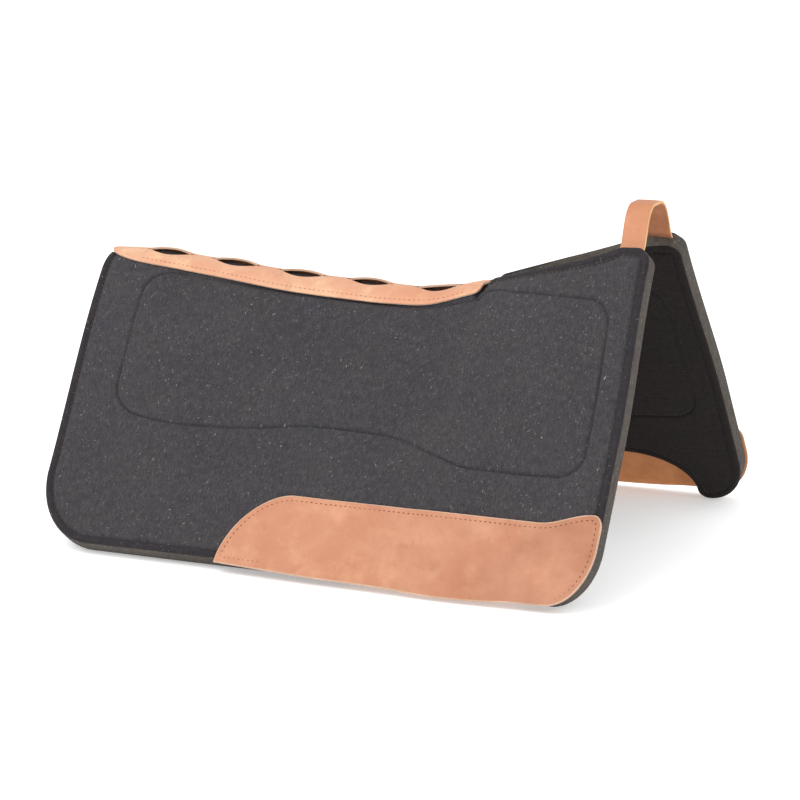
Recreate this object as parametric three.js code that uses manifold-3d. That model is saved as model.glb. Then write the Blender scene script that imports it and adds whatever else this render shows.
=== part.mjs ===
// A contoured felt saddle pad for a western saddle, standing open like a tent.
//
// Millimetres, +Z up, +X towards the horse's withers (the front), +Y towards the left panel.
// Two thick felt panels hang from a leather strip along the spine. In front of the strip
// they are separate, and a leather loop ties them together over the withers.
//
// A place in a panel is given by three numbers:
//   u  distance back from the pad's front edge
//   s  distance up the panel from its lower edge, along the face that lies on the horse
//   n  distance outwards through the thickness, from that same face
// panelPoint(u, s, n) bends them into the standing shape of the right panel (y below 0).

import * as THREE from 'three';
import { mergeVertices } from 'three/addons/utils/BufferGeometryUtils.js';
import Module from 'manifold-3d';

const wasm = await Module();
wasm.setup();
const { degToRad, smoothstep, lerp, clamp } = THREE.MathUtils;

// ---- driving dimensions -------------------------------------------------------------

const SPINE_LENGTH = 733;        // front edge to the rear end of the ridge
const PANEL_LENGTH = 714;        // front edge to rear edge, low on a panel
const THICKNESS = 25;            // whole panel, binding to binding
const FRONT_HALF_WIDTH = 251;    // from the centre plane to a panel's foot, at the front
const REAR_HALF_WIDTH = 235;     // the same at the rear
const CREST_RADIUS = 20;         // bend of the panel's horse side over the spine
const SPINE_GAP = 20;            // open channel between the two panels under the spine strip

// The withers cut-out: in front of CUT_START the panels part, stand steeper and rise.
const CUT_START = 237;
const CUT_START_DEPTH = 2;       // n at which the open part's edge meets the channel's wall
const FRONT_SLOPE = degToRad(58.3);
const CUT_HEIGHT = 375;          // up the panel, foot to top edge, just in front of the strip
const CUT_LIFT = 23;             // over which the edge comes up to that height
const CUT_RISE_POWER = 2;
const CUT_STAND_POWER = 0.65;
const FRONT_HEIGHT = 416;        // up the panel, foot to top edge, at the front
const FRONT_TOP_FLAT = 40;       // how far back the full height reaches
const FRONT_CURL = degToRad(6);
const CUT_BLEND = 12;            // over which the felt's edge turns into the channel's wall
const TOP_CORNER = 16;           // rounding of the top front corner

// Height of the ridge's felt at distances back from the front edge.
const CREST = [[200, 310], [237, 303.5], [294, 290.5], [345, 290.5], [400, 293], [472, 296],
  [566, 304.6], [653, 312], [700, 312], [740, 309]];

// The lower edge: a rounded lobe, a shallow cut-out behind it, then straight to the rear.
const LOBE_REACH = 50;
const LOBE_HEIGHT = 68;
const LOBE_HEEL = 14;
const CUTOUT_TOP = 75;
const CUTOUT_FRONT_CREST = 150;
const CUTOUT_REAR_CREST = 215;
const CUTOUT_END = 300;
const REAR_CORNER_REACH = 80;
const REAR_CORNER_HEIGHT = 88;

// How far the front and rear edges lean back towards their tops, and the spans of s in which.
const FRONT_LEAN = 8;
const FRONT_LEAN_SPAN = [180, 400];
const FRONT_LEAN_REACH = 300;
const REAR_LEAN = 16.5;
const REAR_LEAN_SPAN = [20, 350];
const REAR_LEAN_START = 400;

// Layers, as spans of n. Everything keeps a small gap to its neighbours.
const LINING = [1.9, 8.2];
const CORE = [9.1, 13.6];
const OUTER = [14.5, 23.1];
const INSERT = [9.3, 13.4];
const FELT_INSET = 4.0;          // felt layers end this far inside the bound edge
const CORE_INSET = 12;

// Felt tape bound round the edge.
const TAPE_REACH = 9.5;
const TAPE_FACE = 1.3;
const TAPE_WEB = 1.6;

// Foam insert quilted into each panel.
const INSERT_FRONT = 39;
const INSERT_REAR = 648;
const INSERT_OPEN_INSET = 14.5;    // below the cut-out's edge
const INSERT_SEAM_INSET = 11;    // below the channel's wall
const INSERT_SEAM_SPAN = [237, 262];  // over which one turns into the other
const INSERT_TOP_FRONT = 352;
const INSERT_TOP_RISE = 12;
const INSERT_LOW_FRONT = 145;
const INSERT_LOW_REAR = 173;
const INSERT_LOW_SPAN = [180, 285];
const INSERT_CORNER = 28;
const WINDOW_GAP = 1;
const QUILT_MARGIN = 2;

// Wear leather over each panel's front corner.
const WEAR = [26.9, 29.4];
const WEAR_FRONT = -1;
const WEAR_TOP = 87;
const WEAR_TOP_FRONT = 102;
const WEAR_BOTTOM = -8;
const WEAR_TIP = 461;
const WEAR_TAIL = 385;           // where the top edge starts to curve down to the rear tip
const WEAR_SHOULDER = [10, 75];  // where the top edge rises to the front
const WEAR_CORNER = [10, 16];    // reach and drop of the top front corner
const WEAR_LOBE = [50, 51.2, 74];  // middle, reach and height of the curve round the lobe
const WEAR_STITCH_INSET = 7.5;
const WEAR_STITCH_START = 30;
const WEAR_STITCH_END = 405;

// Spine strip with its vents.
const STRIP = [25.7, 28.6];
const STRIP_HALF_WIDTHS = [[237, 29], [300, 34], [373, 37.5], [475, 36.5], [565, 33.5], [650, 31]];
const STRIP_REAR = 713;
const STRIP_TAPER = 72;
const STRIP_CORNER = 20;
const STRIP_STITCH_INSET = 6;
const STRIP_STITCH_SPAN = [254, 662];
const VENT_COUNT = 5;
const VENT_FIRST = 294;
const VENT_PITCH = 89.8;
const VENT_LENGTH = 50;
const VENT_WIDTH = 15;
const VENT_TOOL_HEIGHT = 80;     // taller than the strip is deep, centred on the ridge

// Withers loop.
const LOOP_FRONT = 12.5;
const LOOP_WIDTH = 29;
const LOOP_THICKNESS = 3.2;
const LOOP_DEPTH_IN_PANEL = 17;  // n of the loop's middle where it enters a panel
const LOOP_BURIED = 30;
const LOOP_TOP = 409.5;
const LOOP_TOP_HALF = 9;
const LOOP_CLEAR = 3;            // straight stretch between the panel's edge and the bend
const LOOP_LOW_PULL = [8, 18];   // how the bend starts, towards the middle and up
const LOOP_HIGH_PULL = [18, 1];  // how it ends, from the top's end outwards and down
const POCKET_GAP = 0.5;

const THREAD = 0.75;             // thickness of a line of stitching
const THREAD_GAP = 0.5;
const BOBBIN_GAP = 0.9;
const EDGE_STITCH_INSET = 6.5;
const QUILT_THREAD_GAP = 1.1;    // more, because the felt's facets bow between their corners

const FRONT_X = SPINE_LENGTH / 2 - 1.8;   // puts the origin under the middle of the whole pad

// ---- materials ----------------------------------------------------------------------

function finish(color, roughness) {
  return new THREE.MeshStandardMaterial({ color, roughness, metalness: 0 });
}

const FELT = () => finish(0x46434a, 0.95);
const LINING_FELT = () => finish(0x242326, 0.95);
const TAPE_FELT = () => finish(0x55545a, 0.95);
const FOAM = () => finish(0x3a3f45, 0.8);
const LEATHER = () => finish(0xd79d80, 0.6);
const STRAP_LEATHER = () => finish(0xcf8f5f, 0.55);
const BLACK_THREAD = () => finish(0x1c1b1e, 0.7);
const TAN_THREAD = () => finish(0xb4683a, 0.7);

// ---- the standing shape of a panel --------------------------------------------------

// A smooth curve through a few [place, value] points.
function profile(points) {
  const slopes = points.map((p, i) => {
    const before = points[Math.max(i - 1, 0)];
    const after = points[Math.min(i + 1, points.length - 1)];
    return (after[1] - before[1]) / (after[0] - before[0]);
  });
  return (x) => {
    const at = clamp(x, points[0][0], points.at(-1)[0]);
    const i = Math.min(points.findLastIndex((p) => p[0] <= at), points.length - 2);
    const [x0, y0] = points[i];
    const [x1, y1] = points[i + 1];
    const width = x1 - x0;
    const t = (at - x0) / width;
    return y0 * (2 * t ** 3 - 3 * t ** 2 + 1) + slopes[i] * width * (t ** 3 - 2 * t ** 2 + t)
      + y1 * (3 * t ** 2 - 2 * t ** 3) + slopes[i + 1] * width * (t ** 3 - t ** 2);
  };
}

const crestHeight = profile(CREST);

function footHalfWidth(u) {
  return lerp(FRONT_HALF_WIDTH, REAR_HALF_WIDTH, u / PANEL_LENGTH);
}

// Behind the cut-out: a straight flank, tangent to the bend over the spine.
function seamSection(u) {
  const centreZ = crestHeight(u) - THICKNESS - CREST_RADIUS;
  const reach = Math.hypot(footHalfWidth(u), centreZ);
  const slope = Math.atan2(centreZ, footHalfWidth(u)) + Math.asin(CREST_RADIUS / reach);
  const flank = Math.sqrt(reach ** 2 - CREST_RADIUS ** 2);
  return { slope, flank, curl: slope };
}

// slope: angle of the flank; flank: its straight length; curl: how far the top bends over.
function section(u) {
  if (u >= CUT_START) return seamSection(u);
  const seam = seamSection(CUT_START);
  const ahead = CUT_START - u;
  const turned = CUT_START - FRONT_TOP_FLAT / 2;
  const curl = lerp(seam.curl, FRONT_CURL, smoothstep(ahead, 0, turned));
  const slope = lerp(seam.slope, FRONT_SLOPE, clamp(ahead / turned, 0, 1) ** CUT_STAND_POWER);
  const lift = smoothstep(ahead, 0, CUT_LIFT);
  const rise = clamp(ahead / (CUT_START - FRONT_TOP_FLAT), 0, 1) ** CUT_RISE_POWER;
  const height = lerp(channelEdge(CUT_START, CUT_START_DEPTH), CUT_HEIGHT, lift)
    + (FRONT_HEIGHT - CUT_HEIGHT) * rise;
  return { slope, flank: height - CREST_RADIUS * curl, curl };
}

function topEdge(u) {
  const { flank, curl } = section(u);
  return flank + CREST_RADIUS * curl;
}

// Behind the cut-out a panel stops at the channel's wall, half the gap from the centre.
function channelEdge(u, n) {
  const { slope, flank } = seamSection(u);
  return flank + CREST_RADIUS * (slope - Math.asin(SPINE_GAP / 2 / (CREST_RADIUS + n)));
}

function rearLean(u, s) {
  const rise = smoothstep(s, ...REAR_LEAN_SPAN);
  return REAR_LEAN * rise * smoothstep(u, REAR_LEAN_START, PANEL_LENGTH);
}

function lean(u, s) {
  const front = FRONT_LEAN * smoothstep(s, ...FRONT_LEAN_SPAN);
  return front * (1 - smoothstep(u, 0, FRONT_LEAN_REACH)) + rearLean(u, s);
}

function panelPoint(u, s, n) {
  const { slope, flank } = section(u);
  const x = FRONT_X - u - lean(u, s);
  const straight = Math.min(s, flank);
  const bent = Math.max(s - flank, 0) / CREST_RADIUS;
  const startY = -footHalfWidth(u) + straight * Math.cos(slope);
  const startZ = straight * Math.sin(slope);
  const centreY = startY + CREST_RADIUS * Math.sin(slope);
  const centreZ = startZ - CREST_RADIUS * Math.cos(slope);
  const radius = CREST_RADIUS + n;
  return new THREE.Vector3(
    x,
    centreY - radius * Math.sin(slope - bent),
    centreZ + radius * Math.cos(slope - bent),
  );
}

// ---- the outline of a panel ---------------------------------------------------------

function ellipseDrop(distance, reach, height) {
  return height * (1 - Math.sqrt(Math.max(0, 1 - (distance / reach) ** 2)));
}

function lowerEdge(u) {
  if (u < LOBE_REACH) return ellipseDrop(LOBE_REACH - u, LOBE_REACH, LOBE_HEIGHT);
  const heelEnd = LOBE_REACH + LOBE_HEEL;
  if (u < heelEnd) return ellipseDrop(u - LOBE_REACH, LOBE_HEEL, LOBE_HEEL);
  if (u < CUTOUT_FRONT_CREST) {
    const reach = CUTOUT_FRONT_CREST - heelEnd;
    const height = CUTOUT_TOP - LOBE_HEEL;
    return CUTOUT_TOP - ellipseDrop(CUTOUT_FRONT_CREST - u, reach, height);
  }
  if (u < CUTOUT_END) return CUTOUT_TOP * (1 - smoothstep(u, CUTOUT_REAR_CREST, CUTOUT_END));
  const cornerStart = PANEL_LENGTH - REAR_CORNER_REACH;
  return u < cornerStart ? 0 : ellipseDrop(u - cornerStart, REAR_CORNER_REACH, REAR_CORNER_HEIGHT);
}

function upperEdge(u) {
  return topEdge(u) - (u < TOP_CORNER ? ellipseDrop(TOP_CORNER - u, TOP_CORNER, TOP_CORNER) : 0);
}

// Places along a span, closer together where an outline turns.
function stations(from, to, marks) {
  const inside = marks.filter((m) => m > from + 0.5 && m < to - 0.5);
  return [from, ...inside, to];
}

function offsetLine(points, distance) {
  return points.map((p, i) => {
    const before = points[Math.max(i - 1, 0)];
    const after = points[Math.min(i + 1, points.length - 1)];
    const along = after.clone().sub(before).normalize();
    return new THREE.Vector2(p.x - along.y * distance, p.y + along.x * distance);
  });
}

function heightOn(line, u) {
  const i = clamp(line.findIndex((p) => p.x >= u), 1, line.length - 1);
  const [a, b] = [line[i - 1], line[i]];
  return lerp(a.y, b.y, clamp((u - a.x) / Math.max(b.x - a.x, 1e-6), 0, 1));
}

const LOWER_MARKS = [0, 2, 8, 19, 34, 50, 57, 62, 64, 65, 70, 80, 98, 122, 150, 215, 235, 257, 280,
  300, 400, 500, 600, 634, 657, 677, 693, 705, 712, 714];
const UPPER_MARKS = [0, 2, 7, 16, 40, 72, 104, 136, 168, 197, 210, 218, 223, 228, 233];
const LOWER_LINE = LOWER_MARKS.map((u) => new THREE.Vector2(u, lowerEdge(u)));
const UPPER_LINE = UPPER_MARKS.map((u) => new THREE.Vector2(u, topEdge(u)));

// The lower edge of a layer that ends a little inside the bound edge.
function insetLower(inset) {
  const line = offsetLine(LOWER_LINE, inset).sort((a, b) => a.x - b.x);
  return (u) => Math.max(heightOn(line, u), lowerEdge(clamp(u, 0, PANEL_LENGTH)) + inset);
}

function insetUpper(inset) {
  const line = offsetLine(UPPER_LINE, -inset);
  return (u, n) => {
    if (u >= CUT_START) return channelEdge(u, n);
    const open = Math.min(upperEdge(u) - inset, heightOn(line, u));
    const joined = Math.min(open, channelEdge(CUT_START, n));
    return lerp(open, joined, smoothstep(u, CUT_START - CUT_BLEND, CUT_START));
  };
}

// ---- solids -------------------------------------------------------------------------

function geometryFrom(vertices, triangles) {
  const geometry = new THREE.BufferGeometry();
  geometry.setAttribute('position', new THREE.Float32BufferAttribute(vertices, 3));
  geometry.setIndex(triangles);
  return facingOut(geometry);
}

function facingOut(geometry) {
  const at = geometry.getAttribute('position');
  const index = geometry.getIndex().array;
  const [a, b, c] = [new THREE.Vector3(), new THREE.Vector3(), new THREE.Vector3()];
  let volume = 0;
  for (let i = 0; i < index.length; i += 3) {
    a.fromBufferAttribute(at, index[i]);
    b.fromBufferAttribute(at, index[i + 1]);
    c.fromBufferAttribute(at, index[i + 2]);
    volume += a.dot(b.cross(c));
  }
  if (volume > 0) return geometry;
  for (let i = 0; i < index.length; i += 3) {
    [index[i + 1], index[i + 2]] = [index[i + 2], index[i + 1]];
  }
  return geometry;
}

// A sheet with thickness: place(i, j, face) gives its corners, face 0 inside and 1 outside.
function sheet(columns, rows, place) {
  const vertices = [];
  const triangles = [];
  const id = (i, j, face) => 2 * (i * rows + j) + face;
  for (let i = 0; i < columns; i += 1) {
    for (let j = 0; j < rows; j += 1) {
      for (const face of [0, 1]) vertices.push(...place(i, j, face).toArray());
    }
  }
  const quad = (a, b, c, d) => triangles.push(a, b, c, a, c, d);
  for (let i = 0; i < columns - 1; i += 1) {
    for (let j = 0; j < rows - 1; j += 1) {
      quad(id(i, j, 0), id(i, j + 1, 0), id(i + 1, j + 1, 0), id(i + 1, j, 0));
      quad(id(i, j, 1), id(i + 1, j, 1), id(i + 1, j + 1, 1), id(i, j + 1, 1));
    }
    quad(id(i, 0, 0), id(i + 1, 0, 0), id(i + 1, 0, 1), id(i, 0, 1));
    quad(id(i, rows - 1, 0), id(i, rows - 1, 1), id(i + 1, rows - 1, 1), id(i + 1, rows - 1, 0));
  }
  for (let j = 0; j < rows - 1; j += 1) {
    quad(id(0, j, 0), id(0, j, 1), id(0, j + 1, 1), id(0, j + 1, 0));
    const last = columns - 1;
    quad(id(last, j, 0), id(last, j + 1, 0), id(last, j + 1, 1), id(last, j, 1));
  }
  return geometryFrom(vertices, triangles);
}

// A layer of a panel between two depths, on a grid of u stations and rows up the panel.
function layer({ us, flankRows, bendRows, low, high, span }) {
  return sheet(us.length, flankRows + bendRows + 1, (i, j, face) => {
    const u = us[i];
    const n = span[face];
    const top = high(u, n);
    const bend = bendRows > 0 ? Math.min(section(u).flank, top - 2) : top;
    const s = j <= flankRows
      ? lerp(low(u), bend, j / flankRows)
      : lerp(bend, top, (j - flankRows) / bendRows);
    return panelPoint(u, s, n);
  });
}

// The s reached by moving a true distance up or down the panel, at depth n. Over the spine
// the outer side is longer than the side that s is measured on.
function movedUp(u, s, distance, n) {
  const { flank } = section(u);
  const stretch = 1 + n / CREST_RADIUS;
  const bent = Math.max(s - flank, 0) * stretch;
  if (distance >= 0 || bent === 0) return s + distance;
  return -distance < bent ? s + distance / stretch : flank + bent + distance;
}

// Sweeps a closed section of [inwards, n] points along a line of places on a panel.
function swept(line, sectionPoints, closed) {
  const count = line.length;
  const size = sectionPoints.length;
  const vertices = [];
  const triangles = [];
  line.forEach((p, i) => {
    const before = closed ? line[(i + count - 1) % count] : line[Math.max(i - 1, 0)];
    const after = closed ? line[(i + 1) % count] : line[Math.min(i + 1, count - 1)];
    const along = after.clone().sub(before).normalize();
    for (const [inwards, n] of sectionPoints) {
      const u = p.x - along.y * inwards;
      vertices.push(...panelPoint(u, movedUp(u, p.y, along.x * inwards, n), n).toArray());
    }
  });
  const spans = closed ? count : count - 1;
  for (let i = 0; i < spans; i += 1) {
    const next = (i + 1) % count;
    for (let k = 0; k < size; k += 1) {
      const k2 = (k + 1) % size;
      const [a, b, c, d] = [i * size + k, i * size + k2, next * size + k2, next * size + k];
      triangles.push(a, b, c, a, c, d);
    }
  }
  if (!closed) {
    const end = (count - 1) * size;
    for (const [a, b, c] of endCap(sectionPoints)) {
      triangles.push(c, b, a, end + a, end + b, end + c);
    }
  }
  return geometryFrom(vertices, triangles);
}

// Triangles across a section, wound the same way as its own points.
function endCap(sectionPoints) {
  const flat = sectionPoints.map(([x, y]) => new THREE.Vector2(x, y));
  const clockwise = THREE.ShapeUtils.isClockWise(flat);
  return THREE.ShapeUtils.triangulateShape(flat, []).map((triangle) => {
    const same = THREE.ShapeUtils.isClockWise(triangle.map((k) => flat[k])) === clockwise;
    return same ? triangle : triangle.toReversed();
  });
}

function thread(line, n, inset, closed = true) {
  const half = THREAD / 2;
  const profilePoints = [[inset - half, n], [inset + half, n], [inset + half, n + THREAD],
    [inset - half, n + THREAD]];
  return swept(line, profilePoints, closed);
}

// ---- booleans -----------------------------------------------------------------------

function toSolid(geometry) {
  const bare = geometry.clone();
  bare.deleteAttribute('normal');
  bare.deleteAttribute('uv');
  const merged = mergeVertices(bare, 1e-4);
  const mesh = new wasm.Mesh({
    numProp: 3,
    vertProperties: new Float32Array(merged.getAttribute('position').array),
    triVerts: new Uint32Array(merged.getIndex().array),
  });
  return new wasm.Manifold(mesh);
}

function toGeometry(solid) {
  const mesh = solid.getMesh();
  return geometryFrom(Array.from(mesh.vertProperties), Array.from(mesh.triVerts));
}

function cut(geometry, tools) {
  return toGeometry(tools.reduce((solid, tool) => solid.subtract(toSolid(tool)), toSolid(geometry)));
}

// ---- panel pieces -------------------------------------------------------------------

const LAYER_MARKS = [18, 40, 57, 64, 70, 82, 104, 136, 168, 197, 210, 218, 223, 228, 233, 237, 257,
  280, 302, 350, 400, 455, 510, 566, 610, 640, 665, 684, 698];

const CORE_MARKS = [40, 57, 70, 104, 136, 168, 197, 210, 218, 223, 228, 233, 237, 257, 280, 302, 350, 400,
  455, 510, 566, 610, 665, 690];

function feltLayer(span, inset, marks) {
  const us = stations(inset, PANEL_LENGTH - inset, marks);
  const [low, high] = [insetLower(inset), insetUpper(inset)];
  return layer({ us, flankRows: 4, bendRows: 4, low, high, span });
}

function insertLow(u) {
  return lerp(INSERT_LOW_FRONT, INSERT_LOW_REAR, smoothstep(u, ...INSERT_LOW_SPAN));
}

function insertHigh(u) {
  const edge = u < CUT_START ? topEdge(u) : channelEdge(u, CUT_START_DEPTH);
  const rise = INSERT_TOP_RISE * smoothstep(u, INSERT_CORNER, CUT_START);
  const inset = lerp(INSERT_OPEN_INSET, INSERT_SEAM_INSET, smoothstep(u, ...INSERT_SEAM_SPAN));
  return Math.min(edge - inset, INSERT_TOP_FRONT + rise);
}

// The insert's outline, grown by a margin, with four rounded corners.
function insertShape(margin) {
  const from = INSERT_FRONT - margin;
  const to = INSERT_REAR + margin;
  const corner = INSERT_CORNER + margin;
  const round = (u) => {
    const edge = Math.min(u - from, to - u);
    return edge < corner ? ellipseDrop(corner - Math.max(edge, 0), corner, corner) : 0;
  };
  return {
    us: stations(from, to, [from + 2, from + 8, from + 17, from + corner, 104, 136, 168, 197, 213, 223,
      228, 233, 237, 257, 280, 302, 350, 400, 500, 570, to - corner, to - 17, to - 8, to - 2]),
    low: (u) => insertLow(u) - margin + round(u),
    high: (u) => insertHigh(u) + margin - round(u),
  };
}

function insertSolid(margin, span) {
  return layer({ ...insertShape(margin), flankRows: 3, bendRows: 2, span });
}

// The middle layer has a window that the insert lies in.
function windowedCore() {
  const window = insertSolid(WINDOW_GAP, [CORE[0] - 2, CORE[1] + 2]);
  return cut(feltLayer(CORE, CORE_INSET, CORE_MARKS), [window]);
}

function quiltLine() {
  const { us, low, high } = insertShape(QUILT_MARGIN);
  const bottom = us.map((u) => new THREE.Vector2(u, low(u)));
  const top = us.map((u) => new THREE.Vector2(u, high(u))).reverse();
  const rear = [0.25, 0.5, 0.75].map((t) => new THREE.Vector2(bottom.at(-1).x,
    lerp(bottom.at(-1).y, top[0].y, t)));
  const front = [0.25, 0.5, 0.75].map((t) => new THREE.Vector2(bottom[0].x,
    lerp(top.at(-1).y, bottom[0].y, t)));
  return [...bottom, ...rear, ...top, ...front];
}

// The bound edge, from the cut-out's start round the front and the foot to the rear ridge.
function rimLine() {
  const top = UPPER_MARKS.toReversed().map((u) => new THREE.Vector2(u, upperEdge(u)));
  const frontLow = LOWER_LINE[0].y;
  const frontHigh = top.at(-1).y;
  const front = [0.75, 0.5, 0.25].map((t) => new THREE.Vector2(0, lerp(frontLow, frontHigh, t)));
  const rearTop = channelEdge(PANEL_LENGTH, OUTER[1]) - 1;
  const bendStart = seamSection(PANEL_LENGTH).flank;
  const rear = [160, 230, 300, bendStart, lerp(bendStart, rearTop, 0.33),
    lerp(bendStart, rearTop, 0.67), rearTop].map(
    (s) => new THREE.Vector2(PANEL_LENGTH, s));
  return [...top, ...front, ...LOWER_LINE, ...rear];
}

function bindingTape() {
  const web = TAPE_WEB;
  const [inner, outer] = [TAPE_FACE, THICKNESS - TAPE_FACE];
  return swept(rimLine(), [[0, 0], [0, THICKNESS], [TAPE_REACH, THICKNESS], [TAPE_REACH, outer],
    [web, outer], [web, inner], [TAPE_REACH, inner], [TAPE_REACH, 0]], false);
}

function wearTop(u) {
  const shoulder = lerp(WEAR_TOP_FRONT, WEAR_TOP, smoothstep(u, ...WEAR_SHOULDER));
  const [reach, drop] = WEAR_CORNER;
  const corner = ellipseDrop(Math.max(0, WEAR_FRONT + reach - u), reach, drop);
  const tail = ellipseDrop(Math.max(0, u - WEAR_TAIL), WEAR_TIP - WEAR_TAIL, WEAR_TOP - WEAR_BOTTOM);
  return shoulder - corner - tail;
}

function wearBottom(u) {
  const [middle, reach, height] = WEAR_LOBE;
  return WEAR_BOTTOM + ellipseDrop(Math.max(0, middle - u), reach, height);
}

const WEAR_MARKS = [0, 2.5, 6, 11, 18, 27, 38, 50, 75, 110, 150, 190, 230, 270, 310, 350, 385, 403,
  418, 432, 444, 452, 457];

function wearLeather() {
  const us = stations(WEAR_FRONT, WEAR_TIP - 1, WEAR_MARKS);
  return layer({ us, flankRows: 2, bendRows: 0, low: wearBottom, high: wearTop, span: WEAR });
}

// A row of stitches just inside the edge: from the lobe round the front and along the top to the
// rear tip, then a little way back along the foot. Between its ends the leather hangs free.
function wearStitchLine() {
  const us = stations(WEAR_FRONT, WEAR_TIP - 1, WEAR_MARKS);
  const lobe = us.filter((u) => u < WEAR_STITCH_START).reverse()
    .map((u) => new THREE.Vector2(u, wearBottom(u)));
  const top = us.map((u) => new THREE.Vector2(u, wearTop(u)));
  const footLine = WEAR_BOTTOM + 1.5 * WEAR_STITCH_INSET;
  const inside = offsetLine([...lobe, ...top], -WEAR_STITCH_INSET)
    .filter((p) => p.x < WEAR_TAIL || p.y > footLine + 2);
  const foot = new THREE.Vector2(inside.at(-1).x - 3, footLine);
  return [...inside, foot, new THREE.Vector2(WEAR_STITCH_END, footLine)];
}

// ---- spine strip --------------------------------------------------------------------

// A place on the strip: w is the distance across it from the ridge line, left positive.
function stripPoint(u, w, n) {
  const { slope } = seamSection(u);
  const outer = CREST_RADIUS + STRIP[0];
  const centreZ = crestHeight(u) - THICKNESS - CREST_RADIUS;
  const turn = Math.min(Math.abs(w) / outer, slope);
  const flat = Math.max(Math.abs(w) - outer * slope, 0);
  const radius = CREST_RADIUS + n;
  const side = Math.sign(w) || 1;
  const y = radius * Math.sin(turn) + flat * Math.cos(turn);
  const z = centreZ + radius * Math.cos(turn) - flat * Math.sin(turn);
  const back = rearLean(u, topEdge(u) - Math.abs(w));
  return new THREE.Vector3(FRONT_X - u - back, side * y, z);
}

const stripMiddle = profile(STRIP_HALF_WIDTHS);

function stripHalfWidth(u) {
  const tail = clamp((u - STRIP_REAR + STRIP_TAPER) / STRIP_TAPER, 0, 1);
  const rear = stripMiddle(Math.min(u, STRIP_HALF_WIDTHS.at(-1)[0])) * Math.sqrt(1 - tail ** 2);
  const front = u < CUT_START + STRIP_CORNER
    ? ellipseDrop(CUT_START + STRIP_CORNER - u, STRIP_CORNER, STRIP_CORNER) : 0;
  return Math.max(rear - front, 4);
}

function spineStrip() {
  const us = stations(CUT_START + 0.5, STRIP_REAR - 0.3, [239, 243, 249, 257, 278, 305, 345, 400,
    455, 510, 566, 610, 641, 658, 672, 684, 695, 703, 709]);
  const rows = 11;
  const whole = sheet(us.length, rows, (i, j, face) => stripPoint(
    us[i], lerp(-1, 1, j / (rows - 1)) * stripHalfWidth(us[i]), STRIP[face]));
  return cut(whole, ventTools());
}

// Eye-shaped holes along the ridge, cut straight down.
function ventTools() {
  return Array.from({ length: VENT_COUNT }, (_, i) => {
    const middle = VENT_FIRST + i * VENT_PITCH;
    const eye = new THREE.Shape();
    eye.moveTo(-VENT_LENGTH / 2, 0);
    eye.quadraticCurveTo(0, VENT_WIDTH, VENT_LENGTH / 2, 0);
    eye.quadraticCurveTo(0, -VENT_WIDTH, -VENT_LENGTH / 2, 0);
    const tool = new THREE.ExtrudeGeometry(eye,
      { depth: VENT_TOOL_HEIGHT, bevelEnabled: false, curveSegments: 6 });
    tool.translate(FRONT_X - middle, 0, crestHeight(middle) - VENT_TOOL_HEIGHT / 2);
    return tool;
  });
}

function stripThread(side) {
  const us = stations(...STRIP_STITCH_SPAN, [268, 294, 320, 345, 370, 400, 430, 460, 490, 520, 550,
    580, 610, 635, 650]);
  const n = STRIP[1] + THREAD_GAP;
  return sheet(us.length, 2, (i, j, face) => stripPoint(
    us[i], side * (stripHalfWidth(us[i]) - STRIP_STITCH_INSET) + (j - 0.5) * THREAD,
    n + face * THREAD));
}

// ---- withers loop -------------------------------------------------------------------

// The loop's right half, from inside the panel up to the middle of its flat top, as (y, z).
function loopHalf() {
  const u = LOOP_FRONT + LOOP_WIDTH / 2;
  const top = topEdge(u);
  const inPanel = (s) => panelPoint(u, s, LOOP_DEPTH_IN_PANEL);
  const buried = inPanel(top - LOOP_BURIED);
  const mouth = inPanel(top);
  const clearOf = inPanel(top + LOOP_CLEAR);
  const rise = new THREE.CubicBezierCurve(
    new THREE.Vector2(clearOf.y, clearOf.z),
    new THREE.Vector2(clearOf.y + LOOP_LOW_PULL[0], clearOf.z + LOOP_LOW_PULL[1]),
    new THREE.Vector2(-LOOP_TOP_HALF - LOOP_HIGH_PULL[0], LOOP_TOP - LOOP_HIGH_PULL[1]),
    new THREE.Vector2(-LOOP_TOP_HALF, LOOP_TOP),
  );
  return [new THREE.Vector2(buried.y, buried.z), new THREE.Vector2(mouth.y, mouth.z),
    ...rise.getPoints(8)];
}

function loopBand(thickness, from, width, buriedExtra) {
  const half = loopHalf();
  const start = half[1].clone().sub(half[0]).normalize().multiplyScalar(-buriedExtra);
  half[0].add(start);
  const line = [...half, ...half.map((p) => new THREE.Vector2(-p.x, p.y)).reverse()];
  const outside = offsetLine(line, thickness / 2);
  const inside = offsetLine(line, -thickness / 2).reverse();
  const shape = new THREE.Shape([...outside, ...inside]);
  const band = new THREE.ExtrudeGeometry(shape, { depth: width, bevelEnabled: false });
  // The shape's plane is turned upright: its x becomes y, its y becomes z.
  band.applyMatrix4(new THREE.Matrix4().set(0, 0, 1, 0, 1, 0, 0, 0, 0, 1, 0, 0, 0, 0, 0, 1));
  band.translate(FRONT_X - from - width, 0, 0);
  return band;
}

function withersLoop() {
  return loopBand(LOOP_THICKNESS, LOOP_FRONT + FRONT_LEAN, LOOP_WIDTH, 0);
}

function loopSlot() {
  return loopBand(LOOP_THICKNESS + 2 * POCKET_GAP, LOOP_FRONT + FRONT_LEAN - POCKET_GAP,
    LOOP_WIDTH + 2 * POCKET_GAP, POCKET_GAP);
}

// ---- assembly -----------------------------------------------------------------------

function mirrored(geometry) {
  const copy = geometry.clone();
  copy.scale(1, -1, 1);
  return facingOut(copy);
}

const pad = new THREE.Group();

function addPiece(name, geometry, material) {
  const mesh = new THREE.Mesh(geometry, material);
  mesh.name = name;
  pad.add(mesh);
}

const rim = rimLine();
const quilt = quiltLine();

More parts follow.
